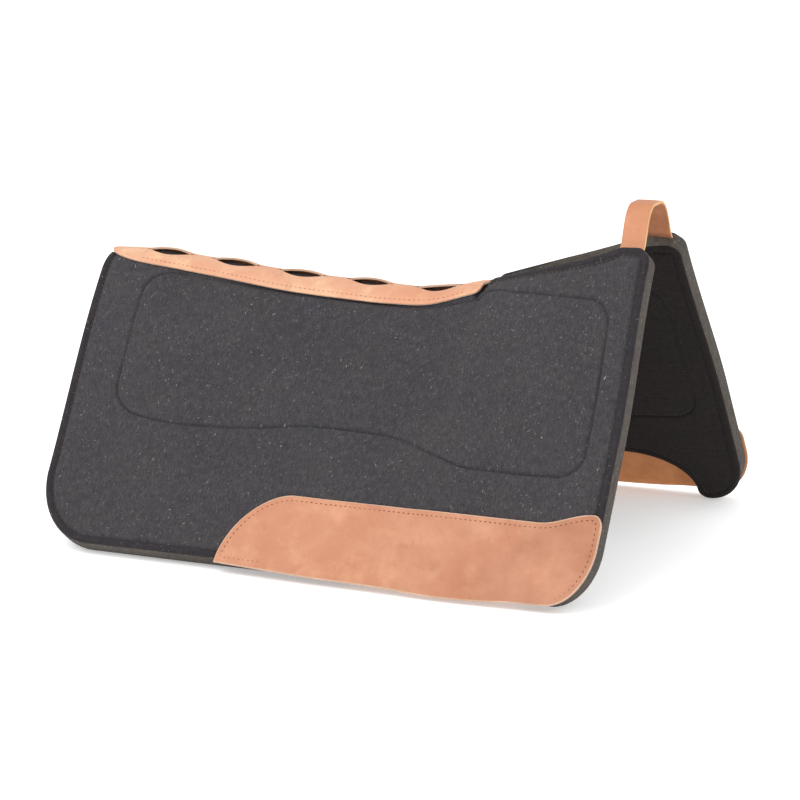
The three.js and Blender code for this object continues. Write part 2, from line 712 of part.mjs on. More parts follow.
// Every piece of the right panel; the left one is its mirror image.
const PANEL_PIECES = [
  ['outer_felt', cut(feltLayer(OUTER, FELT_INSET, LAYER_MARKS), [loopSlot()]), FELT],
  ['core_felt', windowedCore(), FELT],
  ['impact_insert', insertSolid(0, INSERT), FOAM],
  ['lining_felt', feltLayer(LINING, FELT_INSET, LAYER_MARKS), LINING_FELT],
  ['edge_binding', cut(bindingTape(), [loopSlot()]), TAPE_FELT],
  ['edge_top_thread', thread(rim, THICKNESS + THREAD_GAP, EDGE_STITCH_INSET, false), BLACK_THREAD],
  ['edge_bobbin_thread', thread(rim, -THREAD - BOBBIN_GAP, EDGE_STITCH_INSET, false), BLACK_THREAD],
  ['quilt_top_thread', thread(quilt, OUTER[1] + QUILT_THREAD_GAP, 0), BLACK_THREAD],
  ['quilt_bobbin_thread', thread(quilt, LINING[0] - THREAD - QUILT_THREAD_GAP, 0), BLACK_THREAD],
  ['wear_leather', wearLeather(), LEATHER],
  ['wear_leather_thread', thread(wearStitchLine(), WEAR[1] + THREAD_GAP, 0, false), TAN_THREAD],
];

for (const [name, geometry, material] of PANEL_PIECES) {
  addPiece(`right_${name}`, geometry, material());
  addPiece(`left_${name}`, mirrored(geometry), material());
}
addPiece('spine_leather', spineStrip(), LEATHER());
addPiece('spine_thread_right', stripThread(-1), TAN_THREAD());
addPiece('spine_thread_left', stripThread(1), TAN_THREAD());
addPiece('withers_loop', withersLoop(), STRAP_LEATHER());

export default pad;
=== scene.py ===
"""A contoured felt saddle pad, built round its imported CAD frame.

Sizes are millimetres and become metres when a mesh is made. A place in a panel is
  u  distance back from the pad's front edge
  s  distance up the panel from its foot, along the face that lies on the horse
  n  distance outwards through the thickness, from that same face
panel_point(u, s, n) bends them into the standing shape of the right panel (y below 0).
The left panel is its mirror image.
"""

import math

import bmesh
import bpy
import numpy as np
from mathutils import Matrix, Vector
from mathutils.kdtree import KDTree


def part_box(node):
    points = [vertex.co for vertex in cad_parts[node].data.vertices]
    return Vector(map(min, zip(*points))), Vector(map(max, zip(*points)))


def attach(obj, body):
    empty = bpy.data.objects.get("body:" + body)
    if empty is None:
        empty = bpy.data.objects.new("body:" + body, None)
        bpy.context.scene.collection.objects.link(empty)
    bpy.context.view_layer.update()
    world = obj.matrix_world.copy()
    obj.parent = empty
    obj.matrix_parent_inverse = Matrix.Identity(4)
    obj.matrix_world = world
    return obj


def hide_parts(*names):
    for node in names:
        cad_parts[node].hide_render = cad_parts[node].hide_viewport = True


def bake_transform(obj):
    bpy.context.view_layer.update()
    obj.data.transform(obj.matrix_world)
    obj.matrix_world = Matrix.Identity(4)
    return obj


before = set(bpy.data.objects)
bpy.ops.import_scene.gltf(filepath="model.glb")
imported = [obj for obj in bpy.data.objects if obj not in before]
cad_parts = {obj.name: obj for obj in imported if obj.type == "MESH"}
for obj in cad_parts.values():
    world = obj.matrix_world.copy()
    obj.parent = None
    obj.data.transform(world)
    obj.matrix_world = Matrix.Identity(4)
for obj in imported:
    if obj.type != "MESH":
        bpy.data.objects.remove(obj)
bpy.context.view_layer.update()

MM = 0.001

# ---- driving dimensions of the standing panels ----

THICKNESS = 25.0
PANEL_LENGTH = 714.0
FRONT_HALF_WIDTH, REAR_HALF_WIDTH = 251.0, 235.0
CREST_RADIUS = 20.0
SPINE_GAP = 20.0
CUT_START, CUT_START_DEPTH = 237.0, 2.0
CUT_BLEND = 12.0
CUT_HEIGHT, CUT_LIFT, CUT_RISE_POWER = 375.0, 23.0, 2.0
CUT_STAND_POWER, CUT_STAND_EASE = 0.65, 20.0     # the frame has no easing there
FRONT_SLOPE, FRONT_CURL = math.radians(58.3), math.radians(6)
FRONT_HEIGHT, FRONT_TOP_FLAT = 416.0, 40.0
TOP_CORNER = 16.0
CREST = np.array([[200, 310], [237, 303.5], [294, 290.5], [345, 290.5], [400, 293], [472, 296],
                  [566, 304.6], [653, 312], [700, 312], [740, 309]], float)
LOBE_REACH, LOBE_HEIGHT, LOBE_HEEL = 50.0, 68.0, 14.0
CUTOUT_TOP, CUTOUT_FRONT_CREST, CUTOUT_REAR_CREST, CUTOUT_END = 75.0, 150.0, 215.0, 300.0
REAR_CORNER_REACH, REAR_CORNER_HEIGHT = 80.0, 88.0
FRONT_LEAN, FRONT_LEAN_SPAN, FRONT_LEAN_REACH = 8.0, (180, 400), 300
REAR_LEAN, REAR_LEAN_SPAN, REAR_LEAN_START = 16.5, (20, 350), 400
FRONT_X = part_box("right_edge_binding")[1].x / MM      # the foot of the front edge

# ---- layers and details ----

OUTER_BACK, OUTER_FACE = 14.5, 24.7
LINING_FACE, LINING_BACK = 0.5, 8.2
CORE_SPAN, INSERT_SPAN = (9.1, 13.6), (9.3, 13.4)
FELT_INSET, CORE_INSET = 3.0, 12.0
WALL_REACH = 25.0       # how far down a panel the upright channel wall is felt
TAPE_REACH, TAPE_FACE_DEPTH = 9.5, 1.9
TAPE_PITCH = 2.5                    # between the rings of points along the tape
TAPE_LUMP, TAPE_LUMP_PITCH = 0.22, 23
LINING_RELIEF, LINING_PUFF = 0.8, 0.4     # shares of the outer face's; padding takes both
RIPPLE_SIZES, RIPPLE_HEIGHT = (170, 120, 85, 60), 0.28
LEFT_FELT_SHIFT, LEFT_WEAR_SHIFT = 1300, 900     # give the left side its own pattern
INSERT_GAP = 1.5
INSERT_EDGE, INSERT_EDGE_SHARE = 4, 0.35     # reach of the thinned edge, and its thickness
RIM_CREASE, RIM_CREASE_WIDTH = 2.6, 2.3     # depth and width of the sewn creases
SEAM_START = (CUT_START - 12, CUT_START - 4)     # where the bound edge ends and the strip begins
QUILT_CREASE, QUILT_CREASE_WIDTH = 2.6, 1.9
QUILT_PUFF, QUILT_PUFF_REACH = 1.5, 16.0

QUILT_FRONT, QUILT_REAR, QUILT_CORNER = 37.5, 650.0, 30.0
QUILT_LOW = np.array([[0, 143], [180, 144], [230, 158], [285, 175], [345, 179], [400, 178],
                      [470, 168], [545, 163], [600, 166], [650, 176], [714, 180]], float)
QUILT_TOP_FRONT, QUILT_TOP_RISE = 354.0, 12.0
QUILT_OPEN_INSET, QUILT_SEAM_INSET, QUILT_SEAM_SPAN = 12.5, 6.5, (228, 240)

WEAR_BACK, WEAR_FACE = 25.5, 28.2
WEAR_FRONT, WEAR_TIP, WEAR_TAIL = -1.0, 461.0, 385.0
WEAR_TOP, WEAR_TOP_FRONT, WEAR_SHOULDER = 87.0, 102.0, (10, 75)
WEAR_CORNER = (10.0, 16.0)
WEAR_STITCH_INSET, WEAR_STITCH_FRONT, WEAR_STITCH_END = 6.2, 34, 405
WEAR_FRONT_FINE, WEAR_TAIL_FINE = 12, 46     # stretches with closer columns
WEAR_ROUND, STRIP_ROUND = (1.1, 0.7), (1.0, 0.6)     # reach and depth of a rounded cut edge
WEAR_PULL, WEAR_PULL_WIDTH, WEAR_FOOT_CLEAR = 0.35, 2.2, 9
WEAR_HEM_LIFT, WEAR_HEM_SPAN = 0.35, (2, 12)
WORN_EDGE = 1.2                     # pale band along the patch's edge
WEAR_LOW = np.array([[50, -6], [94, -8], [123, -11], [183, -14], [240, -13], [334, -12],
                     [400, -9], [461, -6]], float)
WEAR_LOBE = (50.0, 51.2, 74.0)      # middle, reach and height of the curve round the lobe

EDGE_STITCH = (6.0, 4.6, 0.45, 0.5)     # pitch, length, radius and dip of a row's stitches
QUILT_STITCH = (5.5, 4.4, 0.6, 0.5)
LEATHER_STITCH = (6.2, 3.4, 0.5, 0.75)
EDGE_STITCH_DEPTH = 1.9

STRIP_BACK, STRIP_FACE = 25.5, 28.0
STRIP_HALF_WIDTHS = np.array([[237, 29], [300, 34], [373, 37.5], [475, 36.5], [565, 33.5],
                              [650, 31]], float)
STRIP_FRONT, STRIP_REAR, STRIP_TAPER, STRIP_CORNER = 231.5, 713.0, 72.0, 9.0
STRIP_STITCH_INSET, STRIP_STITCH_SPAN = 6.0, (254.0, 662.0)
VENT_COUNT, VENT_FIRST, VENT_PITCH, VENT_LENGTH, VENT_WIDTH = 5, 294.0, 89.8, 53.0, 19.0
VENT_LIFT = {-1: -0.9, 1: 3.4}      # how far each lip stands up: right, left
VENT_LIFT_WIDTH, VENT_LIFT_REACH = 12.0, 1.25
STRIP_DIP, STRIP_DIP_REACH, STRIP_DIP_WIDTH = 2.0, 12.0, 9.0     # its front end, between the panels

LOOP_FRONT, LOOP_WIDTH, LOOP_THICKNESS = 20.5, 29.0, 3.2
LOOP_TOP, LOOP_TOP_HALF, LOOP_BURIED, LOOP_DEPTH = 409.5, 9.0, 30.0, 17.0
LOOP_CLEAR, LOOP_LOW_PULL, LOOP_HIGH_PULL = 3, (8, 18), (18, 1)     # the bend's start and end
LOOP_PITCH, LOOP_BEVEL, LOOP_CROWN = 1.6, 0.45, 0.35

# ---- small maths ----


def lerp(a, b, t):
    return a + (b - a) * t


def smoothstep(x, low, high):
    t = np.clip((x - low) / (high - low), 0, 1)
    return t * t * (3 - 2 * t)


def bump(x, width):
    return np.exp(-((x / width) ** 2))


def profile(points):
    """A smooth curve through a few (place, value) points, as a function of arrays."""
    xs, ys = points[:, 0], points[:, 1]
    slopes = np.empty(len(xs))
    slopes[1:-1] = (ys[2:] - ys[:-2]) / (xs[2:] - xs[:-2])
    slopes[0] = (ys[1] - ys[0]) / (xs[1] - xs[0])
    slopes[-1] = (ys[-1] - ys[-2]) / (xs[-1] - xs[-2])

    def value(x):
        x = np.clip(np.asarray(x, float), xs[0], xs[-1])
        i = np.clip(np.searchsorted(xs, x, side="right") - 1, 0, len(xs) - 2)
        width = xs[i + 1] - xs[i]
        t = (x - xs[i]) / width
        return (ys[i] * (2 * t**3 - 3 * t**2 + 1) + slopes[i] * width * (t**3 - 2 * t**2 + t)
                + ys[i + 1] * (3 * t**2 - 2 * t**3) + slopes[i + 1] * width * (t**3 - t**2))

    return value


def arc_drop(distance, reach, height):
    """How far a quarter ellipse has come down at a distance from its middle."""
    return height * (1 - np.sqrt(np.clip(1 - (distance / reach) ** 2, 0, 1)))


def edge_drop(away, reach, height):
    """How far a rounded edge has come down at a distance in from that edge."""
    return arc_drop(1 - np.clip(away / reach, 0, 1), 1, height)


def spread(features, counts, ease=0.6):
    """Stations between each pair of features, closer together near the features.
    features is a list of numbers or of arrays of one length; stations run along the last axis."""
    parts = []
    for low, high, count in zip(features, features[1:], counts):
        t = np.arange(count) / count
        t = t - ease * np.sin(2 * math.pi * t) / (2 * math.pi)
        parts.append(np.multiply.outer(np.asarray(low, float), 1 - t)
                     + np.multiply.outer(np.asarray(high, float), t))
    parts.append(np.asarray(features[-1], float)[..., None])
    return np.concatenate(parts, axis=-1)


def resampled(line, pitch, closed=False):
    """Points along a line of any dimension, evenly spaced, about pitch apart."""
    if closed:
        line = np.vstack([line, line[:1]])
    steps = np.linalg.norm(np.diff(line, axis=0), axis=1)
    along = np.concatenate([[0], np.cumsum(steps)])
    count = max(2, int(round(along[-1] / pitch)))
    at = np.linspace(0, along[-1], count + 1)
    if closed:
        at = at[:-1]
    return np.stack([np.interp(at, along, line[:, k]) for k in range(line.shape[1])], axis=1)


def directions(line, closed=False):
    if closed:
        step = np.roll(line, -1, axis=0) - np.roll(line, 1, axis=0)
    else:
        step = np.gradient(line, axis=0)
    return step / np.linalg.norm(step, axis=1, keepdims=True)


def inset_line(line, distance, closed=False):
    """A (u, s) line moved to the left of its own direction."""
    along = directions(line, closed)
    return line + distance * np.stack([-along[:, 1], along[:, 0]], axis=1)


def distances_to(line, us, ss):
    """The distance from each (u, s) to a dense line."""
    tree = KDTree(len(line))
    for i, (u, s) in enumerate(line):
        tree.insert((u, s, 0), i)
    tree.balance()
    flat = [tree.find((u, s, 0))[2] for u, s in zip(us.ravel(), ss.ravel())]
    return np.array(flat).reshape(us.shape)


# ---- the standing shape of a panel ----

crest_height = profile(CREST)


def foot_half_width(u):
    return lerp(FRONT_HALF_WIDTH, REAR_HALF_WIDTH, u / PANEL_LENGTH)


def seam_section(u):
    """Slope and straight length of the flank, where the panels hang from the spine strip."""
    centre_z = crest_height(u) - THICKNESS - CREST_RADIUS
    foot = foot_half_width(u)
    reach = np.hypot(foot, centre_z)
    slope = np.arctan2(centre_z, foot) + np.arcsin(CREST_RADIUS / reach)
    return slope, np.sqrt(reach**2 - CREST_RADIUS**2)


def channel_edge(u, n):
    slope, flank = seam_section(u)
    return flank + CREST_RADIUS * (slope - np.arcsin(SPINE_GAP / 2 / (CREST_RADIUS + n)))


def section(u):
    """Slope, straight length and curl of the panel at u, the cut-out's part included."""
    slope, flank = seam_section(u)
    joined_slope, _ = seam_section(CUT_START)
    ahead, turned = CUT_START - u, CUT_START - FRONT_TOP_FLAT / 2
    open_curl = lerp(joined_slope, FRONT_CURL, smoothstep(ahead, 0, turned))
    stand = (np.clip(ahead / turned, 0, 1) ** CUT_STAND_POWER
             * smoothstep(ahead, 0, CUT_STAND_EASE))
    rise = np.clip(ahead / (CUT_START - FRONT_TOP_FLAT), 0, 1) ** CUT_RISE_POWER
    open_height = (lerp(channel_edge(CUT_START, CUT_START_DEPTH), CUT_HEIGHT,
                        smoothstep(ahead, 0, CUT_LIFT)) + (FRONT_HEIGHT - CUT_HEIGHT) * rise)
    joined = u >= CUT_START
    return (np.where(joined, slope, lerp(joined_slope, FRONT_SLOPE, stand)),
            np.where(joined, flank, open_height - CREST_RADIUS * open_curl),
            np.where(joined, slope, open_curl))


def top_edge(u):
    _, flank, curl = section(u)
    return flank + CREST_RADIUS * curl


def rear_lean(u, s):
    rise = smoothstep(s, *REAR_LEAN_SPAN)
    return REAR_LEAN * rise * smoothstep(u, REAR_LEAN_START, PANEL_LENGTH)


def lean(u, s):
    front = FRONT_LEAN * smoothstep(s, *FRONT_LEAN_SPAN)
    return front * (1 - smoothstep(u, 0, FRONT_LEAN_REACH)) + rear_lean(u, s)


def panel_point(u, s, n):
    u, s, n = np.broadcast_arrays(*(np.asarray(a, float) for a in (u, s, n)))
    slope, flank, _ = section(u)
    straight = np.minimum(s, flank)
    bent = np.maximum(s - flank, 0) / CREST_RADIUS
    centre_y = -foot_half_width(u) + straight * np.cos(slope) + CREST_RADIUS * np.sin(slope)
    centre_z = straight * np.sin(slope) - CREST_RADIUS * np.cos(slope)
    radius = CREST_RADIUS + n
    return np.stack([FRONT_X - u - lean(u, s), centre_y - radius * np.sin(slope - bent),
                     centre_z + radius * np.cos(slope - bent)], axis=-1)


def strip_point(u, w, n):
    """A place on the spine strip: w is the distance across it from the ridge, left positive."""
    u, w, n = np.broadcast_arrays(*(np.asarray(a, float) for a in (u, w, n)))
    slope, _ = seam_section(u)
    outer = CREST_RADIUS + STRIP_BACK
    centre_z = crest_height(u) - THICKNESS - CREST_RADIUS
    turn = np.minimum(np.abs(w) / outer, slope)
    flat = np.maximum(np.abs(w) - outer * slope, 0)
    radius = CREST_RADIUS + n
    y = radius * np.sin(turn) + flat * np.cos(turn)
    z = centre_z + radius * np.cos(turn) - flat * np.sin(turn)
    back = rear_lean(u, top_edge(u) - np.abs(w))
    return np.stack([FRONT_X - u - back, np.where(w < 0, -y, y), z], axis=-1)


# ---- outlines in (u, s) ----


def quarter(steps):
    return np.linspace(0, math.pi / 2, steps)


def lower_line():
    """The foot from the front: lobe, heel, the cut-out's rise, then back down to the rear."""
    a = quarter(40)
    heel_end = LOBE_REACH + LOBE_HEEL
    rise = np.stack([CUTOUT_FRONT_CREST - (CUTOUT_FRONT_CREST - heel_end) * np.cos(a),
                     LOBE_HEEL + (CUTOUT_TOP - LOBE_HEEL) * np.sin(a)], axis=1)
    down = np.linspace(CUTOUT_REAR_CREST, CUTOUT_END, 40)
    corner = PANEL_LENGTH - REAR_CORNER_REACH
    return np.vstack([
        np.stack([LOBE_REACH * (1 - np.cos(a)), LOBE_HEIGHT * (1 - np.sin(a))], axis=1),
        np.stack([LOBE_REACH + LOBE_HEEL * np.sin(a), LOBE_HEEL * (1 - np.cos(a))], axis=1)[1:],
        rise[1:],
        np.stack([down, CUTOUT_TOP * (1 - smoothstep(down, CUTOUT_REAR_CREST, CUTOUT_END))], axis=1),
        [[corner - 1, 0]],
        np.stack([corner + REAR_CORNER_REACH * np.sin(a), REAR_CORNER_HEIGHT * (1 - np.cos(a))],
                 axis=1),
    ])


def upper_edge(u):
    return top_edge(u) - arc_drop(np.maximum(TOP_CORNER - u, 0), TOP_CORNER, TOP_CORNER)


def rim_line():
    """The bound edge: forward along the cut-out, down the front, along the foot, up the rear."""
    back = np.linspace(CUT_START - 4, TOP_CORNER, 80)
    corner = TOP_CORNER * (1 - np.sin(quarter(24)))
    top = np.concatenate([back, corner[1:]])
    rear_top = channel_edge(PANEL_LENGTH, STRIP_BACK)
    return np.vstack([np.stack([top, upper_edge(top)], axis=1), lower_line(),
                      [[PANEL_LENGTH, rear_top]]])


def column_edges(line, inset):
    """The lowest s inside an inset copy of the foot line, as a function of u."""
    moved = inset_line(resampled(line, 1.0), inset)
    order = np.argsort(moved[:, 0])

    def low(u):
        return np.interp(u, moved[order, 0], moved[order, 1])

    return low


def column_top(inset):
    def high(u, n):
        opened = upper_edge(np.maximum(u, inset)) - inset
        joined = np.minimum(opened, channel_edge(CUT_START, n))
        front = lerp(opened, joined, smoothstep(u, CUT_START - CUT_BLEND, CUT_START))
        return np.where(u >= CUT_START, channel_edge(u, n), front)
    return high


def corner_round(u):
    edge = np.minimum(u - QUILT_FRONT, QUILT_REAR - u)
    return arc_drop(QUILT_CORNER - np.clip(edge, 0, QUILT_CORNER), QUILT_CORNER, QUILT_CORNER)


quilt_low_curve = profile(QUILT_LOW)


def quilt_low(u):
    return quilt_low_curve(u) + corner_round(u)


def quilt_high(u):
    edge = np.where(u < CUT_START, top_edge(u), channel_edge(u, CUT_START_DEPTH))
    rise = QUILT_TOP_RISE * smoothstep(u, QUILT_CORNER, CUT_START)
    inset = lerp(QUILT_OPEN_INSET, QUILT_SEAM_INSET, smoothstep(u, *QUILT_SEAM_SPAN))
    return np.minimum(edge - inset, QUILT_TOP_FRONT + rise) - corner_round(u)


def quilt_line():
    a = QUILT_CORNER * (1 - np.cos(quarter(20)))
    us = np.concatenate([QUILT_FRONT + a, np.linspace(QUILT_FRONT + QUILT_CORNER,
                                                      QUILT_REAR - QUILT_CORNER, 160)[1:-1],
                         (QUILT_REAR - a)[::-1]])
    return np.vstack([np.stack([us, quilt_low(us)], axis=1),
                      np.stack([us, quilt_high(us)], axis=1)[::-1]])


def wear_top(u):
    shoulder = lerp(WEAR_TOP_FRONT, WEAR_TOP, smoothstep(u, *WEAR_SHOULDER))
    reach, drop = WEAR_CORNER
    corner = arc_drop(np.maximum(WEAR_FRONT + reach - u, 0), reach, drop)
    fall = np.clip((u - WEAR_TAIL) / (WEAR_TIP - WEAR_TAIL), 0, 1)
    tail = (WEAR_TOP - WEAR_LOW[-1, 1]) * (1 - (1 - fall**1.75) ** (1 / 1.9))
    return shoulder - corner - tail


wear_low_curve = profile(WEAR_LOW)


def wear_bottom(u):
    middle, reach, height = WEAR_LOBE
    return wear_low_curve(u) + arc_drop(np.maximum(middle - u, 0), reach, height)


# ---- meshes ----

SIDES = {"right": 1, "left": -1}


def tidy_mesh(mesh, sharp_angle):
    """Welds doubled corners, turns the faces outwards and marks the sharp edges."""
    bm = bmesh.new()
    bm.from_mesh(mesh)
    bmesh.ops.remove_doubles(bm, verts=bm.verts, dist=0.01 * MM)
    bmesh.ops.dissolve_degenerate(bm, edges=bm.edges, dist=0.005 * MM)
    loose = [v for v in bm.verts if not v.link_faces]
    bmesh.ops.delete(bm, geom=loose, context="VERTS")
    bmesh.ops.recalc_face_normals(bm, faces=bm.faces)
    for edge in bm.edges:
        flat = len(edge.link_faces) == 2 and edge.calc_face_angle() < sharp_angle
        edge.smooth = flat
    for face in bm.faces:
        face.smooth = True
    bm.to_mesh(mesh)
    bm.free()


def make_piece(name, points, faces, materials, body, replaces, flat=None,
               side="right", face_materials=None, sharp=60):
    """A mesh piece from millimetre points, mirrored for the left side, riding on a body."""
    points = np.asarray(points, float).reshape(-1, 3) * MM
    points[:, 1] *= SIDES[side]
    mesh = bpy.data.meshes.new(name)
    mesh.from_pydata(points.tolist(), [], [list(map(int, f)) for f in faces])
    if flat is not None:
        layer = mesh.attributes.new("flat", "FLOAT_VECTOR", "POINT")
        layer.data.foreach_set("vector", (np.asarray(flat, float).reshape(-1, 3) * MM).ravel())
    for material in materials:
        mesh.materials.append(material)
    if face_materials is not None:
        mesh.polygons.foreach_set("material_index", np.asarray(face_materials, np.int32))
    tidy_mesh(mesh, math.radians(sharp))
    piece = bpy.data.objects.new(name, mesh)
    bpy.context.scene.collection.objects.link(piece)
    if body:
        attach(piece, body)
    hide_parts(*replaces)
    return piece


def sheet_faces(columns, rows, kept=None):
    """Faces of a sheet with thickness on a grid: front, back and every wall between them.
    Returns the faces and each one's kind: 0 front, 1 back, 2 wall."""
    front = np.arange(columns * rows).reshape(columns, rows)
    behind = front + columns * rows
    if kept is None:
        kept = np.ones((columns - 1, rows - 1), bool)

    def cells(ids):
        return np.stack([ids[:-1, :-1], ids[1:, :-1], ids[1:, 1:], ids[:-1, 1:]], axis=-1)[kept]

    around = np.pad(kept, 1)
    across = around[:-1, 1:-1] != around[1:, 1:-1]
    along = around[1:-1, :-1] != around[1:-1, 1:]
    wall_u = np.stack([front[:, :-1], front[:, 1:], behind[:, 1:], behind[:, :-1]], axis=-1)[across]
    wall_s = np.stack([front[:-1], front[1:], behind[1:], behind[:-1]], axis=-1)[along]
    faces = np.concatenate([cells(front), cells(behind)[:, ::-1], wall_u, wall_s])
    kinds = np.concatenate([np.zeros(kept.sum()), np.ones(kept.sum()),
                            np.full(len(wall_u) + len(wall_s), 2)])
    return faces, kinds


def sweep_faces(count, size, closed):
    """Faces of a tube of count rings with size corners each, with end caps if it is open."""
    ids = np.arange(count * size).reshape(count, size)
    nxt = np.roll(ids, -1, axis=0) if closed else ids[1:]
    ring = ids if closed else ids[:-1]
    quads = np.stack([ring, np.roll(ring, -1, axis=1), np.roll(nxt, -1, axis=1), nxt], axis=-1)
    faces = [list(q) for q in quads.reshape(-1, 4)]
    if not closed:
        faces += [list(ids[0][::-1]), list(ids[-1])]
    return faces


def stitched(line, ups, pitch, length, radius, dip):
    """Separate stitches along a 3-D line: slim capsules whose ends dive into the surface."""
    at = resampled(np.hstack([line, ups]), pitch)
    middles, normals = at[:, :3], at[:, 3:]
    normals = normals / np.linalg.norm(normals, axis=1, keepdims=True)
    along = directions(middles)
    sideways = np.cross(normals, along)
    rings = np.array([-1, -0.86, -0.5, 0, 0.5, 0.86, 1])
    widths = np.array([0.25, 0.72, 1, 1, 1, 0.72, 0.25]) * radius
    corners = np.linspace(0, 2 * math.pi, 7)[:-1]
    t = rings[None, :, None, None]
    width = widths[None, :, None, None]
    c = np.cos(corners)[None, None, :, None]
    d = np.sin(corners)[None, None, :, None]
    points = (middles[:, None, None] + along[:, None, None] * t * length / 2
              + sideways[:, None, None] * c * width
              + normals[:, None, None] * (d * width - dip * t**2))
    size, count = len(corners), len(rings)
    one = sweep_faces(count, size, False)
    faces = [[k + i * size * count for k in face] for i in range(len(middles)) for face in one]
    return points.reshape(-1, 3), faces


def outward(u, s):
    """Unit normal of the right panel's outer face."""
    step = panel_point(u, s, THICKNESS + 1) - panel_point(u, s, THICKNESS - 1)
    return step / np.linalg.norm(step, axis=-1, keepdims=True)


# ---- materials ----


class Nodes:
    """A short way to write a node material."""

    def __init__(self, name):
        self.material = bpy.data.materials.new(name)
        self.material.use_nodes = True
        self.tree = self.material.node_tree
        self.shader = self.tree.nodes["Principled BSDF"]

    def feed(self, node, inputs):
        """Each input gets a number, a vector, a colour or another node's output."""
        for key, value in inputs.items():
            if isinstance(value, bpy.types.NodeSocket):
                self.tree.links.new(value, node.inputs[key])
            else:
                node.inputs[key].default_value = value

    def add(self, kind, inputs, **settings):
        node = self.tree.nodes.new("ShaderNode" + kind)
        for key, value in settings.items():
            setattr(node, key, value)
        self.feed(node, inputs)
        return node

    def place(self, scale=(1, 1, 1), turn=0.0, shift=(0, 0, 0)):
        """The piece's own flat coordinates, scaled per metre."""
        source = self.add("Attribute", {}, attribute_name="flat").outputs["Vector"]
        return self.add("Mapping", {"Vector": source, "Scale": scale, "Rotation": (0, 0, turn),
                                    "Location": shift}).outputs["Vector"]

    def noise(self, vector, scale, detail=3.0, rough=0.55, distortion=0.0):
        return self.add("TexNoise", {"Vector": vector, "Scale": scale, "Detail": detail,
                                     "Roughness": rough, "Distortion": distortion}).outputs["Fac"]

    def cells(self, vector, scale, feature="F1"):
        return self.add("TexVoronoi", {"Vector": vector, "Scale": scale}, feature=feature)

    def ramp(self, value, low, high, to_low=0.0, to_high=1.0):
        return self.add("MapRange", {"Value": value, "From Min": low, "From Max": high,
                                     "To Min": to_low, "To Max": to_high},
                        clamp=True).outputs["Result"]

    def maths(self, operation, a, b):
        return self.add("Math", {0: a, 1: b}, operation=operation).outputs[0]

    def times(self, a, b):
        return self.maths("MULTIPLY", a, b)

    def mix(self, factor, a, b):
        a, b = ((*color, 1) if isinstance(color, tuple) else color for color in (a, b))
        return self.add("Mix", {0: factor, 6: a, 7: b}, data_type="RGBA").outputs[2]

    def bump(self, height, strength, distance, before=None):
        inputs = {"Height": height, "Strength": strength, "Distance": distance}
        if before is not None:
            inputs["Normal"] = before
        return self.add("Bump", inputs).outputs["Normal"]

    def finish(self, color, roughness, normal, sheen=0.0, specular=0.5):
        self.feed(self.shader, {"Base Color": color, "Roughness": roughness, "Normal": normal,
                                "Sheen Weight": sheen, "Sheen Roughness": 0.6,
                                "Specular IOR Level": specular})
        return self.material


def rgb(red, green, blue):
    """A linear colour from ordinary 0 to 255 values."""
    def linear(value):
        value /= 255
        return value / 12.92 if value <= 0.04045 else ((value + 0.055) / 1.055) ** 2.4
    return linear(red), linear(green), linear(blue)


def flecks(m, size, thickness, turn, share, shift):
    """Short bent fibres: stretched cells, of which only a share is kept."""
    wander = m.noise(m.place(), 90, 2)
    straight = m.place((1, 1, 1), turn, (shift, shift * 0.7, 0))
    sway = m.add("CombineXYZ", {0: wander, 1: wander}).outputs[0]
    bent = m.add("VectorMath", {0: sway, 1: (0.004, 0.009, 0), 2: straight},
                 operation="MULTIPLY_ADD").outputs[0]
    stretched = m.add("VectorMath", {0: bent, 1: (1 / size, 1 / (thickness * 6), 1)},
                      operation="MULTIPLY").outputs[0]
    cell = m.cells(stretched, 1.0)
    near = m.ramp(cell.outputs["Distance"], 0.07, 0.16, 1, 0)
    pick = m.add("SeparateColor", {0: cell.outputs["Color"]})
    chosen = m.ramp(pick.outputs[0], 1 - share, 1 - share + 0.02)
    strength = m.maths("POWER", m.ramp(pick.outputs[1], 0, 1, 0.3, 1), 3.0)
    return m.times(m.times(near, chosen), strength)


def felt(name, dark, light, cool, fleck_color, fleck_share, grain=(420, 130), ribs=0.0):
    m = Nodes(name)
    plane = m.place()
    cloud = m.noise(plane, 9, 4, 0.6)
    clump = m.noise(plane, 130, 5, 0.7)
    needled = m.noise(m.place((grain[0], grain[1], 1)), 1.0, 4, 0.75)
    fuzz = m.noise(plane, 1500, 4, 0.8)
    color = m.mix(m.ramp(cloud, 0.32, 0.68), dark, light)
    cool_patch = m.ramp(m.noise(plane, 21, 3, 0.6), 0.48, 0.72)
    color = m.mix(m.times(cool_patch, 0.65), color, cool)
    color = m.mix(m.ramp(clump, 0.4, 0.72, 0, 0.55), color, tuple(1.9 * c for c in light))
    color = m.mix(m.ramp(needled, 0.35, 0.7, 0.75, 0), color, tuple(0.4 * c for c in dark))
    color = m.mix(m.ramp(fuzz, 0.45, 0.75, 0, 0.65), color, tuple(2.4 * c for c in light))
    for i, (size, turn) in enumerate(((0.014, 1.35), (0.010, 0.5), (0.011, -0.45), (0.009, 1.9))):
        fleck = flecks(m, size, 0.00026, turn, fleck_share, 0.37 * (i + 1))
        color = m.mix(m.times(fleck, 0.65), color, fleck_color)
    height = m.maths("ADD", m.times(needled, 0.6), m.times(fuzz, 0.7))
    normal = m.bump(height, 0.55, 0.0011)
    if ribs:
        rib = m.noise(m.place((14, 230, 1)), 1.0, 2, 0.5)
        normal = m.bump(rib, ribs, 0.0012, normal)
    return m.finish(color, 0.95, normal, 0.03, 0.12)


